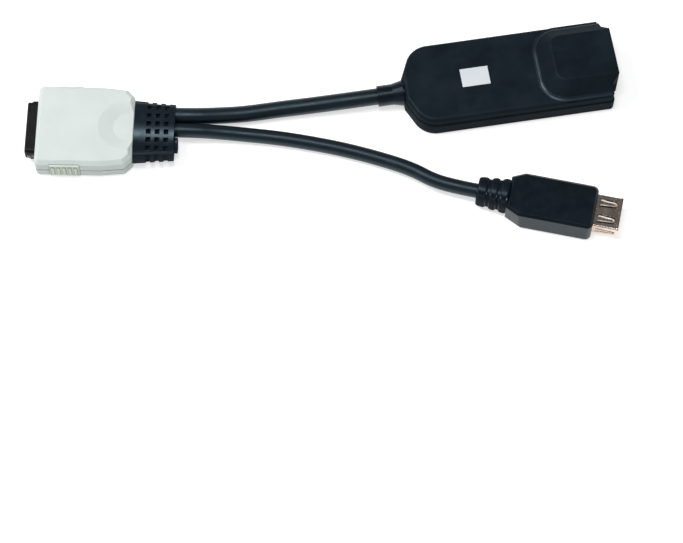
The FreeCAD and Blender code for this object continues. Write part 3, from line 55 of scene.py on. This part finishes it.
VIEW_AZIMUTH = math.radians(-9.0)
VIEW_ELEVATION = math.radians(66.3)
VIEW_DISTANCE = 0.9
VIEW_TARGET = Vector((-0.0720, -0.0658, 0.0))
LENS_MM = 131.1
SENSOR_MM = 36.0
CLIP_NEAR = 0.01
CLIP_FAR = 20.0


def make_camera():
    """The camera looks down at the part from the front, slightly turned."""
    level = Vector((math.sin(VIEW_AZIMUTH), -math.cos(VIEW_AZIMUTH), 0))
    away = level * math.cos(VIEW_ELEVATION) + Vector((0, 0, math.sin(VIEW_ELEVATION)))
    data = bpy.data.cameras.new("camera")
    data.lens = LENS_MM
    data.sensor_width = SENSOR_MM
    data.clip_start = CLIP_NEAR
    data.clip_end = CLIP_FAR
    camera = bpy.data.objects.new("camera", data)
    bpy.context.scene.collection.objects.link(camera)
    camera.location = VIEW_TARGET + away * VIEW_DISTANCE
    camera.rotation_euler = (-away).to_track_quat("-Z", "Y").to_euler()
    bpy.context.scene.camera = camera


# Cables, in millimetres: the places that they start from and end at are the part's own.
PLUG_PLACE = Vector((-174.1, 5.65, 5.25))
PLUG_TURN = math.radians(-10.3)
BOOT_END = 50.6
ADAPTER_CABLE_OFFSET = 7.05
USB_CABLE_OFFSET = 1.15
USB_PLACE = Vector((-18.3, -43.9, 4.8))
USB_TURN = math.radians(-20.8)
SLEEVE_END = -48.0
JACKET_END = -33.25
ENTRY_HEIGHT = 5.0
LEAD_STRAIGHT = 6.6
ADAPTER_CABLE_RADIUS = 3.1
USB_CABLE_RADIUS = 2.7
CABLE_ROUNDNESS = 10
CABLE_STEPS = 16


def in_frame(place, turn, along, across, height):
    """A place given in the plug's or the socket's own frame, in the part's frame."""
    cos, sin = math.cos(turn), math.sin(turn)
    return place + Vector((along * cos - across * sin, along * sin + across * cos, height))


def in_plug(along, across):
    """A place at the joint's height in the plug's own frame."""
    return in_frame(PLUG_PLACE, PLUG_TURN, along, across, 0.0)


def in_usb(along, across, height=0.0):
    """A place in the socket's own frame, its height taken from the socket's middle."""
    return in_frame(USB_PLACE, USB_TURN, along, across, height)


ADAPTER_ROUTE = [
    in_plug(BOOT_END, ADAPTER_CABLE_OFFSET),
    in_plug(BOOT_END + LEAD_STRAIGHT, ADAPTER_CABLE_OFFSET),
    Vector((-107.4, 1.85, 3.95)),
    Vector((-97.5, 1.3, 3.2)),
    Vector((-85.0, 1.35, 3.15)),
    Vector((-71.0, 0.8, 3.6)),
    Vector((SLEEVE_END - 4.0, 0.0, ENTRY_HEIGHT)),
    Vector((JACKET_END, 0.0, ENTRY_HEIGHT)),
]
USB_ROUTE = [
    in_plug(BOOT_END, USB_CABLE_OFFSET),
    in_plug(BOOT_END + LEAD_STRAIGHT, USB_CABLE_OFFSET),
    Vector((-109.0, -4.6, 3.65)),
    Vector((-99.0, -6.9, 2.9)),
    Vector((-87.0, -10.1, 2.75)),
    Vector((-75.0, -14.2, 2.75)),
    Vector((-63.0, -18.9, 2.8)),
    Vector((-51.5, -24.4, 3.0)),
    Vector((-40.5, -30.7, 3.7)),
    in_usb(-16.0, 0.75, -0.15),
    in_usb(-5.9, 0.0),
    in_usb(0.0, 0.0),
]


def make_cable(name, route, radius, node, surface):
    """A cable as one smooth curve with the route's points as its control points."""
    curve = bpy.data.curves.new(name, "CURVE")
    curve.dimensions = "3D"
    curve.bevel_depth = radius * MM
    curve.bevel_resolution = CABLE_ROUNDNESS
    curve.resolution_u = CABLE_STEPS
    curve.twist_mode = "Z_UP"
    spline = curve.splines.new("NURBS")
    spline.points.add(len(route) - 1)
    for point, place in zip(spline.points, route):
        point.co = (*(place * MM), 1.0)
    spline.order_u = 3
    spline.use_endpoint_u = True
    cable = bpy.data.objects.new(name, curve)
    bpy.context.scene.collection.objects.link(cable)
    curve.materials.append(surface)
    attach(cable, BODY)
    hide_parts(node)
    return cable


# Materials

def srgb(red, green, blue):
    """A colour given as it looks on a screen, 0 to 255, as the renderer's linear values."""
    values = []
    for value in (red, green, blue):
        share = value / 255
        if share <= 0.04045:
            values.append(share / 12.92)
        else:
            values.append(((share + 0.055) / 1.055) ** 2.4)
    return (*values, 1.0)


def new_material(name):
    """An empty material with its shader."""
    material = bpy.data.materials.new(name)
    material.use_nodes = True
    nodes = material.node_tree.nodes
    nodes.clear()
    output = nodes.new("ShaderNodeOutputMaterial")
    shader = nodes.new("ShaderNodeBsdfPrincipled")
    material.node_tree.links.new(shader.outputs["BSDF"], output.inputs["Surface"])
    return material, shader


def split(material, vector):
    """The node whose X, Y and Z outputs are the vector's."""
    parts = material.node_tree.nodes.new("ShaderNodeSeparateXYZ")
    material.node_tree.links.new(vector, parts.inputs["Vector"])
    return parts


def coordinates(material):
    """The part's own coordinates, in metres."""
    return material.node_tree.nodes.new("ShaderNodeTexCoord").outputs["Object"]


# Roughness of every noise, and the part of it over which a colour or a gloss changes.
NOISE_ROUGHNESS = 0.55
COLOUR_CHANGE = (0.35, 0.65)
GLOSS_CHANGE = (0.3, 0.7)


def noise(material, scale, detail):
    """A noise over the part's own coordinates; scale is in cells a metre."""
    nodes, links = material.node_tree.nodes, material.node_tree.links
    place = coordinates(material)
    texture = nodes.new("ShaderNodeTexNoise")
    texture.inputs["Scale"].default_value = scale
    texture.inputs["Detail"].default_value = detail
    texture.inputs["Roughness"].default_value = NOISE_ROUGHNESS
    links.new(place, texture.inputs["Vector"])
    return texture.outputs["Fac"]


def mixed_colour(material, factor, first, second):
    """A colour that changes from one to the other as the factor rises past its middle."""
    nodes, links = material.node_tree.nodes, material.node_tree.links
    ramp = nodes.new("ShaderNodeValToRGB")
    start, end = ramp.color_ramp.elements
    start.position, end.position = COLOUR_CHANGE
    start.color, end.color = first, second
    links.new(factor, ramp.inputs["Fac"])
    return ramp.outputs["Color"]


def soft_edges(material, radius):
    """Normals that turn smoothly over an edge, as on a moulded or stamped piece."""
    edge = material.node_tree.nodes.new("ShaderNodeBevel")
    edge.inputs["Radius"].default_value = radius
    return edge.outputs["Normal"]


def calculated(material, operation, first, second):
    """One step of arithmetic on a value; the second may be a value or a number."""
    nodes, links = material.node_tree.nodes, material.node_tree.links
    step = nodes.new("ShaderNodeMath")
    step.operation = operation
    links.new(first, step.inputs[0])
    if isinstance(second, (int, float)):
        step.inputs[1].default_value = second
    else:
        links.new(second, step.inputs[1])
    return step.outputs[0]


def ranged(material, value, start, end, low, high):
    """The value's stretch from start to end, mapped to low and high."""
    nodes, links = material.node_tree.nodes, material.node_tree.links
    mapped = nodes.new("ShaderNodeMapRange")
    mapped.inputs["From Min"].default_value = start
    mapped.inputs["From Max"].default_value = end
    mapped.inputs["To Min"].default_value = low
    mapped.inputs["To Max"].default_value = high
    links.new(value, mapped.inputs["Value"])
    return mapped.outputs["Result"]


def arched(material, place, turn, radius, before):
    """Normals turned as over a low arch on the near side of the given line (metres)."""
    nodes, links = material.node_tree.nodes, material.node_tree.links
    local = nodes.new("ShaderNodeMapping")
    local.vector_type = "TEXTURE"
    local.inputs["Location"].default_value = place
    local.inputs["Rotation"].default_value = (0, 0, turn)
    links.new(coordinates(material), local.inputs["Vector"])
    across = split(material, local.outputs["Vector"]).outputs["Y"]
    near = calculated(material, "MINIMUM", across, 0.0)
    square = calculated(material, "MULTIPLY", near, near)
    fall = calculated(material, "MULTIPLY", square, -0.5 / radius)
    arch = nodes.new("ShaderNodeBump")
    arch.inputs["Distance"].default_value = 1.0
    links.new(fall, arch.inputs["Height"])
    links.new(before, arch.inputs["Normal"])
    return arch.outputs["Normal"]


def openness(material, reach):
    """How open the surface lies within the given reach: 1 on a flat, less in a pocket."""
    shelter = material.node_tree.nodes.new("ShaderNodeAmbientOcclusion")
    shelter.only_local = True
    shelter.inputs["Distance"].default_value = reach
    return shelter.outputs["AO"]


def overlay(material, shader, strength, colour):
    """Another colour over the present one, as strong as the given value."""
    nodes, links = material.node_tree.nodes, material.node_tree.links
    plain = shader.inputs["Base Color"].links[0].from_socket
    mix = nodes.new("ShaderNodeMixRGB")
    mix.inputs["Color2"].default_value = colour
    links.new(strength, mix.inputs["Fac"])
    links.new(plain, mix.inputs["Color1"])
    links.new(mix.outputs["Color"], shader.inputs["Base Color"])


# Share of the painted shade line's width that has its full darkness.
SHADE_LINE_CORE = 0.4


def painted_joint_shade(material, shader, height, half_width, colour):
    """Painted shade: a thin dark line at one height, standing in for the shade in the gap where
    two mouldings meet.
    """
    level = split(material, coordinates(material)).outputs["Z"]
    offset = calculated(material, "SUBTRACT", level, height)
    away = calculated(material, "ABSOLUTE", offset, 0.0)
    strength = ranged(material, away, SHADE_LINE_CORE * half_width, half_width, 1.0, 0.0)
    overlay(material, shader, strength, colour)


# Openness over which the painted shade in a groove fades, and its strength at the bottom.
GROOVE_SHADE_FADE = (0.72, 0.96)
GROOVE_SHADE_STRENGTH = 0.9


def painted_groove_shade(material, shader, reach, colour):
    """Painted shade: a darker colour in grooves no wider than the given reach, where shade falls.
    """
    strength = ranged(material, openness(material, reach), *GROOVE_SHADE_FADE, GROOVE_SHADE_STRENGTH, 0.0)
    overlay(material, shader, strength, colour)


def matt_where_hidden(material, gloss, matt):
    """At least the given roughness on surfaces that lean over and in small pockets."""
    nodes = material.node_tree.nodes
    lie = nodes.new("ShaderNodeNewGeometry").outputs["True Normal"]
    lean = ranged(material, split(material, lie).outputs["Z"], *LEANING, matt, 0.0)
    gloss = calculated(material, "MAXIMUM", gloss, lean)
    pocket = ranged(material, openness(material, POCKET_REACH), *SHELTERED, matt, 0.0)
    return calculated(material, "MAXIMUM", gloss, pocket)


def bump(material, shader, height, depth, before):
    """Fine relief, its depth in metres, on top of the given normals."""
    nodes, links = material.node_tree.nodes, material.node_tree.links
    relief = nodes.new("ShaderNodeBump")
    relief.inputs["Strength"].default_value = 1.0
    relief.inputs["Distance"].default_value = depth
    links.new(height, relief.inputs["Height"])
    links.new(before, relief.inputs["Normal"])
    links.new(relief.outputs["Normal"], shader.inputs["Normal"])


# Scales are in cells a metre, the edge and the reach in metres.
PATCH_SCALE = 90.0
GLOSS_SCALE = 350.0
METAL_PATCH_SCALE = 260.0
METAL_GLOSS_SCALE = 900.0
SCRATCH_SCALE = 1800.0
METAL_EDGE = 0.00012
POCKET_REACH = 0.002
ROUGHNESS_SPREAD = 0.05
METAL_SPREAD = (0.06, 0.08)
# Upward share of the normal, and openness, over which a matt surface turns glossy.
LEANING = (0.78, 0.9)
SHELTERED = (0.65, 0.9)


def moulded(name, light, dark, roughness, grain_scale, grain_depth, specular=0.35,
            tint=(1, 1, 1, 1), edge=0.00025, matt=0.0, arch=None, joint=None, grooves=None):
    """Moulded plastic or rubber: slightly uneven colour, spark-eroded grain, uneven gloss, with
    painted shade at a joint line or in narrow grooves where given.
    """
    material, shader = new_material(name)
    links = material.node_tree.links
    patches = noise(material, PATCH_SCALE, 4.0)
    links.new(mixed_colour(material, patches, dark, light), shader.inputs["Base Color"])
    # Painted shade: a dark line standing in for the shade in the gap at a joint.
    if joint:
        painted_joint_shade(material, shader, *joint)
    # Painted shade in narrow grooves.
    if grooves:
        painted_groove_shade(material, shader, *grooves)
    gloss = ranged(material, noise(material, GLOSS_SCALE, 3.0), *GLOSS_CHANGE,
                   roughness - ROUGHNESS_SPREAD, roughness + ROUGHNESS_SPREAD)
    if matt:
        gloss = matt_where_hidden(material, gloss, matt)
    links.new(gloss, shader.inputs["Roughness"])
    shader.inputs["Specular IOR Level"].default_value = specular
    shader.inputs["Specular Tint"].default_value = tint
    normals = soft_edges(material, edge)
    if arch:
        normals = arched(material, *arch, normals)
    bump(material, shader, noise(material, grain_scale, 2.0), grain_depth, normals)
    return material


def metal(name, light, dark, roughness, scratch_depth=0.000002):
    """Plated or bare metal with fine rubbing marks."""
    material, shader = new_material(name)
    links = material.node_tree.links
    shader.inputs["Metallic"].default_value = 1.0
    patches = noise(material, METAL_PATCH_SCALE, 4.0)
    links.new(mixed_colour(material, patches, dark, light), shader.inputs["Base Color"])
    gloss = ranged(material, noise(material, METAL_GLOSS_SCALE, 3.0), *GLOSS_CHANGE,
                   roughness - METAL_SPREAD[0], roughness + METAL_SPREAD[1])
    links.new(gloss, shader.inputs["Roughness"])
    bump(material, shader, noise(material, SCRATCH_SCALE, 2.0), scratch_depth,
         soft_edges(material, METAL_EDGE))
    return material


BLUE_SHEEN = (0.62, 0.85, 1.0, 1)
# The painted shade line at the joint of the plug's two shells: its height and half its width, in
# metres.
PLUG_JOINT_SHADE = (0.00525, 0.0003)
# Reach of the painted shade in the button's grooves, in metres.
BUTTON_GROOVE_SHADE = 0.0007
# Radii of the arches in metres, and how far their crests lie off the middle, in millimetres.
BOOT_ARCH = 0.02
BOOT_CREST = 2.0
RELIEF_ARCH = 0.0075
RELIEF_CREST = 0.3


def make_materials():
    """Every material by its name; colours are given as they look on a screen."""
    boot_arch = (in_plug(0, BOOT_CREST) * MM, PLUG_TURN, BOOT_ARCH)
    relief_arch = (in_usb(0, RELIEF_CREST) * MM, USB_TURN, RELIEF_ARCH)
    return {
        "adapter_plastic": moulded("adapter_plastic", srgb(27, 37, 43), srgb(18, 27, 33),
                                   0.42, 2600.0, 0.00002, 0.14, BLUE_SHEEN,
                                   edge=0.0009, matt=0.8),
        "adapter_fillet": moulded("adapter_fillet", srgb(27, 37, 43), srgb(18, 27, 33),
                                  0.33, 2600.0, 0.000006, 0.42, BLUE_SHEEN,
                                  edge=0.0001),
        # The plug's joint carries a painted shade line, standing in for the shade in the gap
        # between its shells.
        "plug_plastic": moulded("plug_plastic", srgb(222, 230, 226), srgb(216, 225, 221),
                                0.55, 3200.0, 0.00001, 0.35, edge=0.0004,
                                joint=(*PLUG_JOINT_SHADE, srgb(104, 110, 108))),
        # Painted shade: the button's rib grooves are darkened where shade falls.
        "button_plastic": moulded("button_plastic", srgb(234, 243, 229), srgb(222, 231, 216),
                                  0.45, 3200.0, 0.00001, 0.4,
                                  grooves=(BUTTON_GROOVE_SHADE, srgb(158, 168, 154))),
        "connector_plastic": moulded("connector_plastic", srgb(24, 26, 26), srgb(8, 10, 10),
                                     0.36, 3000.0, 0.00001, 0.2),
        "soft_black": moulded("soft_black", srgb(9, 16, 25), srgb(5, 10, 17),
                              0.32, 1800.0, 0.000006, 0.4, BLUE_SHEEN),
        "relief_black": moulded("relief_black", srgb(9, 16, 25), srgb(5, 10, 17),
                                0.38, 1800.0, 0.000004, 0.36, BLUE_SHEEN,
                                matt=0.85, arch=relief_arch),
        "boot_black": moulded("boot_black", srgb(9, 17, 27), srgb(5, 11, 19),
                              0.33, 1800.0, 0.000004, 0.6, BLUE_SHEEN, matt=0.95,
                              arch=boot_arch),
        "cable_black": moulded("cable_black", srgb(8, 20, 27), srgb(4, 13, 19),
                               0.4, 900.0, 0.000003, 0.55, BLUE_SHEEN),
        "latch_steel": metal("latch_steel", srgb(92, 91, 90), srgb(66, 66, 66), 0.36),
        "screw_steel": metal("screw_steel", srgb(70, 70, 72), srgb(50, 50, 52), 0.4),
        "gold_contact": metal("gold_contact", srgb(226, 190, 116), srgb(205, 165, 92), 0.25),
        "nickel_shell": metal("nickel_shell", srgb(230, 214, 202), srgb(200, 182, 168), 0.2,
                              0.000001),
        "bright_nickel": metal("bright_nickel", srgb(246, 238, 230), srgb(230, 220, 210), 0.3),
        "board_laminate": moulded("board_laminate", srgb(24, 92, 48), srgb(18, 78, 40),
                                  0.35, 1500.0, 0.00001),
        "chip_epoxy": moulded("chip_epoxy", srgb(34, 34, 36), srgb(26, 26, 28),
                              0.55, 5000.0, 0.00001),
        "header_nylon": moulded("header_nylon", srgb(226, 220, 200), srgb(214, 208, 188),
                                0.5, 2000.0, 0.00001),
        "wire_insulation": moulded("wire_insulation", srgb(150, 40, 34), srgb(120, 30, 26),
                                   0.45, 2000.0, 0.00001),
        "badge": moulded("badge", srgb(238, 242, 246), srgb(228, 234, 240),
                         0.3, 2500.0, 0.000005),
    }


# Nodes with a finish of their own, apart from their slot's.
OWN_FINISH = {"plug_strain_relief": "boot_black"}


def dress_nodes(materials):
    """Give each CAD node the material of its slot in the record, or its own."""
    slots = {item["node"]: item["material_slot"] for item in frame["record"]["subparts"]}
    for name, node in frame["nodes"].items():
        node.data.materials.clear()
        node.data.materials.append(materials[OWN_FINISH.get(name, slots[name])])


# Pieces that only the looks need, in millimetres

def mesh_piece(name, points, faces, surface, slot=None, smooth=True):
    """A piece made of the given points (mm, in the part's frame) and faces."""
    mesh = bpy.data.meshes.new(name)
    mesh.from_pydata([tuple(Vector(point) * MM) for point in points], [], faces)
    mesh.update()
    for polygon in mesh.polygons:
        polygon.use_smooth = smooth
    mesh.materials.append(surface)
    piece = bpy.data.objects.new(name, mesh)
    bpy.context.scene.collection.objects.link(piece)
    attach(piece, BODY)
    return piece


def skin(sections):
    """Points and faces that join equal closed sections in turn, with the ends closed."""
    count = len(sections[0])
    faces = [tuple(reversed(range(count)))]
    for step in range(len(sections) - 1):
        first, second = step * count, (step + 1) * count
        for index in range(count):
            following = (index + 1) % count
            faces.append((first + index, first + following,
                          second + following, second + index))
    last = (len(sections) - 1) * count
    faces.append(tuple(last + index for index in range(count)))
    return [point for section in sections for point in section], faces


LID_HEIGHT = 10.0
BADGE_CENTRE = (-11.5, 0.0)
BADGE_SIZE = (10.5, 7.5)
BADGE_SINK = 0.1
BADGE_RISE = 0.12
BADGE_EDGE = 0.06


def make_badge(surface):
    """A bare pale plate on the adapter's lid, with soft edges."""
    middle_x, middle_y = BADGE_CENTRE
    half_x, half_y = BADGE_SIZE[0] / 2, BADGE_SIZE[1] / 2
    corners = [(-half_x, -half_y), (half_x, -half_y), (half_x, half_y), (-half_x, half_y)]
    sections = [[(middle_x + x, middle_y + y, level) for x, y in corners]
                for level in (LID_HEIGHT - BADGE_SINK, LID_HEIGHT + BADGE_RISE)]
    badge = mesh_piece("badge", *skin(sections), surface, smooth=False)
    edge = badge.modifiers.new("soft_edge", "BEVEL")
    edge.width = BADGE_EDGE * MM
    edge.segments = 2


RELIEF_RINGS = [(0.0, 3.7), (4.8, 7.5), (8.6, 11.5)]
RELIEF_LENGTH = 11.5
RELIEF_HALF_WIDTHS = (4.8, 6.17)
RELIEF_HALF_HEIGHTS = (4.62, 4.8)
RING_STEPS = 12
RING_SWELL = 0.2
RING_CORNER = 0.5
RING_SQUARENESS = 6
RING_FULLNESS = 2.8
GROOVE_LEVEL = -0.46
GROOVE_SIDE = 0.02
RELIEF_AROUND = 72
RELIEF_SHARP = math.radians(50)


def relief_stations():
    """Places along the relief, each with its swell out of the plain taper."""
    stations = []
    for number, (start, end) in enumerate(RELIEF_RINGS):
        if number:
            last_end = RELIEF_RINGS[number - 1][1]
            stations += [(last_end + GROOVE_SIDE, GROOVE_LEVEL),
                         (start - GROOVE_SIDE, GROOVE_LEVEL)]
        for step in range(RING_STEPS + 1):
            share = step / RING_STEPS
            corner = RING_CORNER * abs(2 * share - 1) ** RING_SQUARENESS
            stations.append((start + (end - start) * share,
                             RING_SWELL * math.sin(math.pi * share) - corner))
    return stations


def between(ends, share):
    """The value at the given share of the way from the first end to the second."""
    return ends[0] + (ends[1] - ends[0]) * share


def make_relief(surface):
    """The socket's strain relief: full, softly swollen rings with grooves between them."""
    power = 2 / RING_FULLNESS
    sections = []
    for along, swell in relief_stations():
        place = along / RELIEF_LENGTH
        wide = between(RELIEF_HALF_WIDTHS, place) + swell
        high = between(RELIEF_HALF_HEIGHTS, place) + min(swell, 0.0)
        section = []
        for index in range(RELIEF_AROUND):
            angle = 2 * math.pi * index / RELIEF_AROUND
            cos, sin = math.cos(angle), math.sin(angle)
            section.append(in_usb(along, math.copysign(abs(cos) ** power, cos) * wide,
                                  math.copysign(abs(sin) ** power, sin) * high))
        sections.append(section)
    relief = mesh_piece("relief_rings", *skin(sections), surface, "soft_black")
    relief.data.set_sharp_from_angle(angle=RELIEF_SHARP)


HOOD_FOOT_START = 12.1
HOOD_FOOT_END = 37.4
HOOD_FOOT_SIDE = 14.8
HOOD_FOOT_CORNER = 9.0
HOOD_SLOPE = math.radians(45.0)
FOOT_REACH = 0.95
FOOT_STAND = 0.02
FOOT_ROOT = 0.2
FOOT_TURNS = 24
FOOT_STEPS = 8
FOOT_SHARP = math.radians(30)


def make_hood_foot(surface):
    """The hollow fillet in the corner where the hood's slope rises from the lid."""
    middle = HOOD_FOOT_SIDE - HOOD_FOOT_CORNER
    outline = [(HOOD_FOOT_END, HOOD_FOOT_SIDE, math.pi / 2)]
    for step in range(FOOT_TURNS + 1):
        angle = math.pi / 2 * (1 + step / FOOT_TURNS)
        outline.append((HOOD_FOOT_START + HOOD_FOOT_CORNER * (1 + math.cos(angle)),
                        middle + HOOD_FOOT_CORNER * math.sin(angle), angle))
    outline += [(x, -y, -angle) for x, y, angle in reversed(outline)]
    radius = FOOT_REACH / math.tan(HOOD_SLOPE / 2)
    sections = []
    for x, y, outward in outline:
        section = [(x, y, LID_HEIGHT - FOOT_ROOT)]
        for step in range(FOOT_STEPS + 1):
            turn = HOOD_SLOPE * step / FOOT_STEPS
            out = FOOT_REACH - radius * math.sin(turn)
            rise = radius * (1 - math.cos(turn))
            section.append((x + out * math.cos(outward), y + out * math.sin(outward),
                            LID_HEIGHT + rise + FOOT_STAND))
        sections.append(section)
    foot = mesh_piece("hood_foot", *skin(sections), surface, "adapter_plastic")
    foot.data.set_sharp_from_angle(angle=FOOT_SHARP)


# The four flat fingers of the socket's shell, as in the part's source.
SHELL_MOUTH = 52.7
SHELL_HALF_HEIGHT = 2.86
FINGER_MARGIN = 1.3
FINGER_LENGTH = 6.9
FINGER_WIDTH = 3.5
FINGER_TAPER = 0.5
FINGER_CUT = 0.5
FINGER_SIDE = 3.2
RIM_RADIUS = 0.31
RIM_ROUNDNESS = 3
RIM_INSET = 0.25
RIM_SINK = 0.02
RIM_OVERLAP = 0.3
RIM_CORNER = 0.5
RIM_END = 0.35
RIM_FLARE = 0.05


def make_finger_rims(surface):
    """The turned-up edges of the four flat fingers, which catch the light."""
    tip = SHELL_MOUTH - FINGER_MARGIN
    root = tip - FINGER_LENGTH + RIM_OVERLAP
    end = tip - FINGER_CUT - RIM_INSET
    half_root = FINGER_WIDTH / 2 - FINGER_CUT - RIM_INSET
    half_tip = half_root - FINGER_TAPER
    one_side = [(root, half_root), (end - RIM_CORNER, half_tip + RIM_FLARE),
                (end, half_tip - RIM_END)]
    outline = one_side + [(along, -across) for along, across in reversed(one_side)]
    for number, (side, level) in enumerate([(1, 1), (-1, 1), (1, -1), (-1, -1)]):
        curve = bpy.data.curves.new("finger_rim", "CURVE")
        curve.dimensions = "3D"
        curve.bevel_depth = RIM_RADIUS * MM
        curve.bevel_resolution = RIM_ROUNDNESS
        spline = curve.splines.new("POLY")
        spline.points.add(len(outline) - 1)
        for point, (along, across) in zip(spline.points, outline):
            place = in_usb(along, FINGER_SIDE * side + across,
                           level * (SHELL_HALF_HEIGHT - RIM_SINK))
            point.co = (*(place * MM), 1.0)
        curve.materials.append(surface)
        rim = bpy.data.objects.new("finger_rim_%d" % (number + 1), curve)
        bpy.context.scene.collection.objects.link(rim)
        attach(rim, BODY)


# Studio

FLOOR_GLOW = 0.6
FLOOR_HALF = 3.0
FLOOR_GAP = 0.00005
FLOOR_COLOUR = (0.86, 0.86, 0.86, 1)


def seen_rays(nodes, links, path):
    """1 for a ray from the camera, a mirror or glass, and 0 for the light that falls on things."""
    total = path.outputs["Is Camera Ray"]
    for ray in ("Is Glossy Ray", "Is Transmission Ray"):
        either = nodes.new("ShaderNodeMath")
        either.operation = "MAXIMUM"
        links.new(total, either.inputs[0])
        links.new(path.outputs[ray], either.inputs[1])
        total = either.outputs[0]
    return total


def make_floor():
    """A plain white floor that shows the part's soft shadow and nothing else."""
    material = bpy.data.materials.new("floor")
    material.use_nodes = True
    nodes, links = material.node_tree.nodes, material.node_tree.links
    nodes.clear()
    output = nodes.new("ShaderNodeOutputMaterial")
    matt = nodes.new("ShaderNodeBsdfDiffuse")
    matt.inputs["Color"].default_value = FLOOR_COLOUR
    glow = nodes.new("ShaderNodeEmission")
    glow.inputs["Color"].default_value = (1, 1, 1, 1)
    path = nodes.new("ShaderNodeLightPath")
    direct = seen_rays(nodes, links, path)
    seen = nodes.new("ShaderNodeMath")
    seen.operation = "MULTIPLY"
    seen.inputs[1].default_value = FLOOR_GLOW
    links.new(direct, seen.inputs[0])
    links.new(seen.outputs[0], glow.inputs["Strength"])
    both = nodes.new("ShaderNodeAddShader")
    links.new(matt.outputs["BSDF"], both.inputs[0])
    links.new(glow.outputs["Emission"], both.inputs[1])
    links.new(both.outputs["Shader"], output.inputs["Surface"])
    corners = [(-FLOOR_HALF, -FLOOR_HALF, 0), (FLOOR_HALF, -FLOOR_HALF, 0),
               (FLOOR_HALF, FLOOR_HALF, 0), (-FLOOR_HALF, FLOOR_HALF, 0)]
    mesh = bpy.data.meshes.new("floor")
    mesh.from_pydata(corners, [], [(0, 1, 2, 3)])
    mesh.materials.append(material)
    floor = bpy.data.objects.new("floor", mesh)
    floor.location.z = -FLOOR_GAP
    bpy.context.scene.collection.objects.link(floor)


# Brightness of the surroundings by the sine of the height above the horizon.
WORLD_LEVELS = [(0.0, 0.92), (0.1, 0.6), (0.3, 0.36), (1.0, 0.08)]


def world_colour(level):
    """A barely cool white of the given brightness."""
    return (0.96 * level, 0.98 * level, level, 1)


def make_world():
    """Faint light from all round: pale at the horizon, dim overhead."""
    world = bpy.data.worlds.new("studio")
    bpy.context.scene.world = world
    world.use_nodes = True
    nodes, links = world.node_tree.nodes, world.node_tree.links
    nodes.clear()
    output = nodes.new("ShaderNodeOutputWorld")
    place = nodes.new("ShaderNodeTexCoord")
    parts = nodes.new("ShaderNodeSeparateXYZ")
    links.new(place.outputs["Generated"], parts.inputs["Vector"])
    levels = nodes.new("ShaderNodeValToRGB")
    stops = levels.color_ramp.elements
    stops[0].color = world_colour(WORLD_LEVELS[0][1])
    stops[1].color = world_colour(WORLD_LEVELS[-1][1])
    for height, level in WORLD_LEVELS[1:-1]:
        stops.new(height).color = world_colour(level)
    links.new(parts.outputs["Z"], levels.inputs["Fac"])
    around = nodes.new("ShaderNodeBackground")
    links.new(levels.outputs["Color"], around.inputs["Color"])
    links.new(around.outputs["Background"], output.inputs["Surface"])


LAMP_AIM = Vector((-0.07, -0.02, 0.0))
# Name, place, size and watts.
LAMPS = [
    ("key", (-0.55, 0.2, 0.72), 0.3, 4.35),
    ("overhead", (-0.12, -0.06, 0.9), 0.26, 2.4),
]


def make_lamp(name, place, size, watts):
    """A square lamp that lights the part from the given place."""
    data = bpy.data.lights.new(name, "AREA")
    data.shape = "SQUARE"
    data.size = size
    data.energy = watts
    lamp = bpy.data.objects.new(name, data)
    bpy.context.scene.collection.objects.link(lamp)
    lamp.location = place
    lamp.rotation_euler = (LAMP_AIM - Vector(place)).to_track_quat("-Z", "Y").to_euler()


make_camera()
materials = make_materials()
adapter_cable = make_cable("adapter_lead", ADAPTER_ROUTE, ADAPTER_CABLE_RADIUS,
                           "adapter_cable", materials["cable_black"])
usb_cable = make_cable("usb_lead", USB_ROUTE, USB_CABLE_RADIUS,
                       "usb_cable", materials["cable_black"])
dress_nodes(materials)
make_badge(materials["badge"])
make_relief(materials["relief_black"])
make_hood_foot(materials["adapter_fillet"])
make_finger_rims(materials["bright_nickel"])
make_floor()
make_world()
for lamp in LAMPS:
    make_lamp(*lamp)
bpy.context.scene.view_settings.view_transform = "Standard"
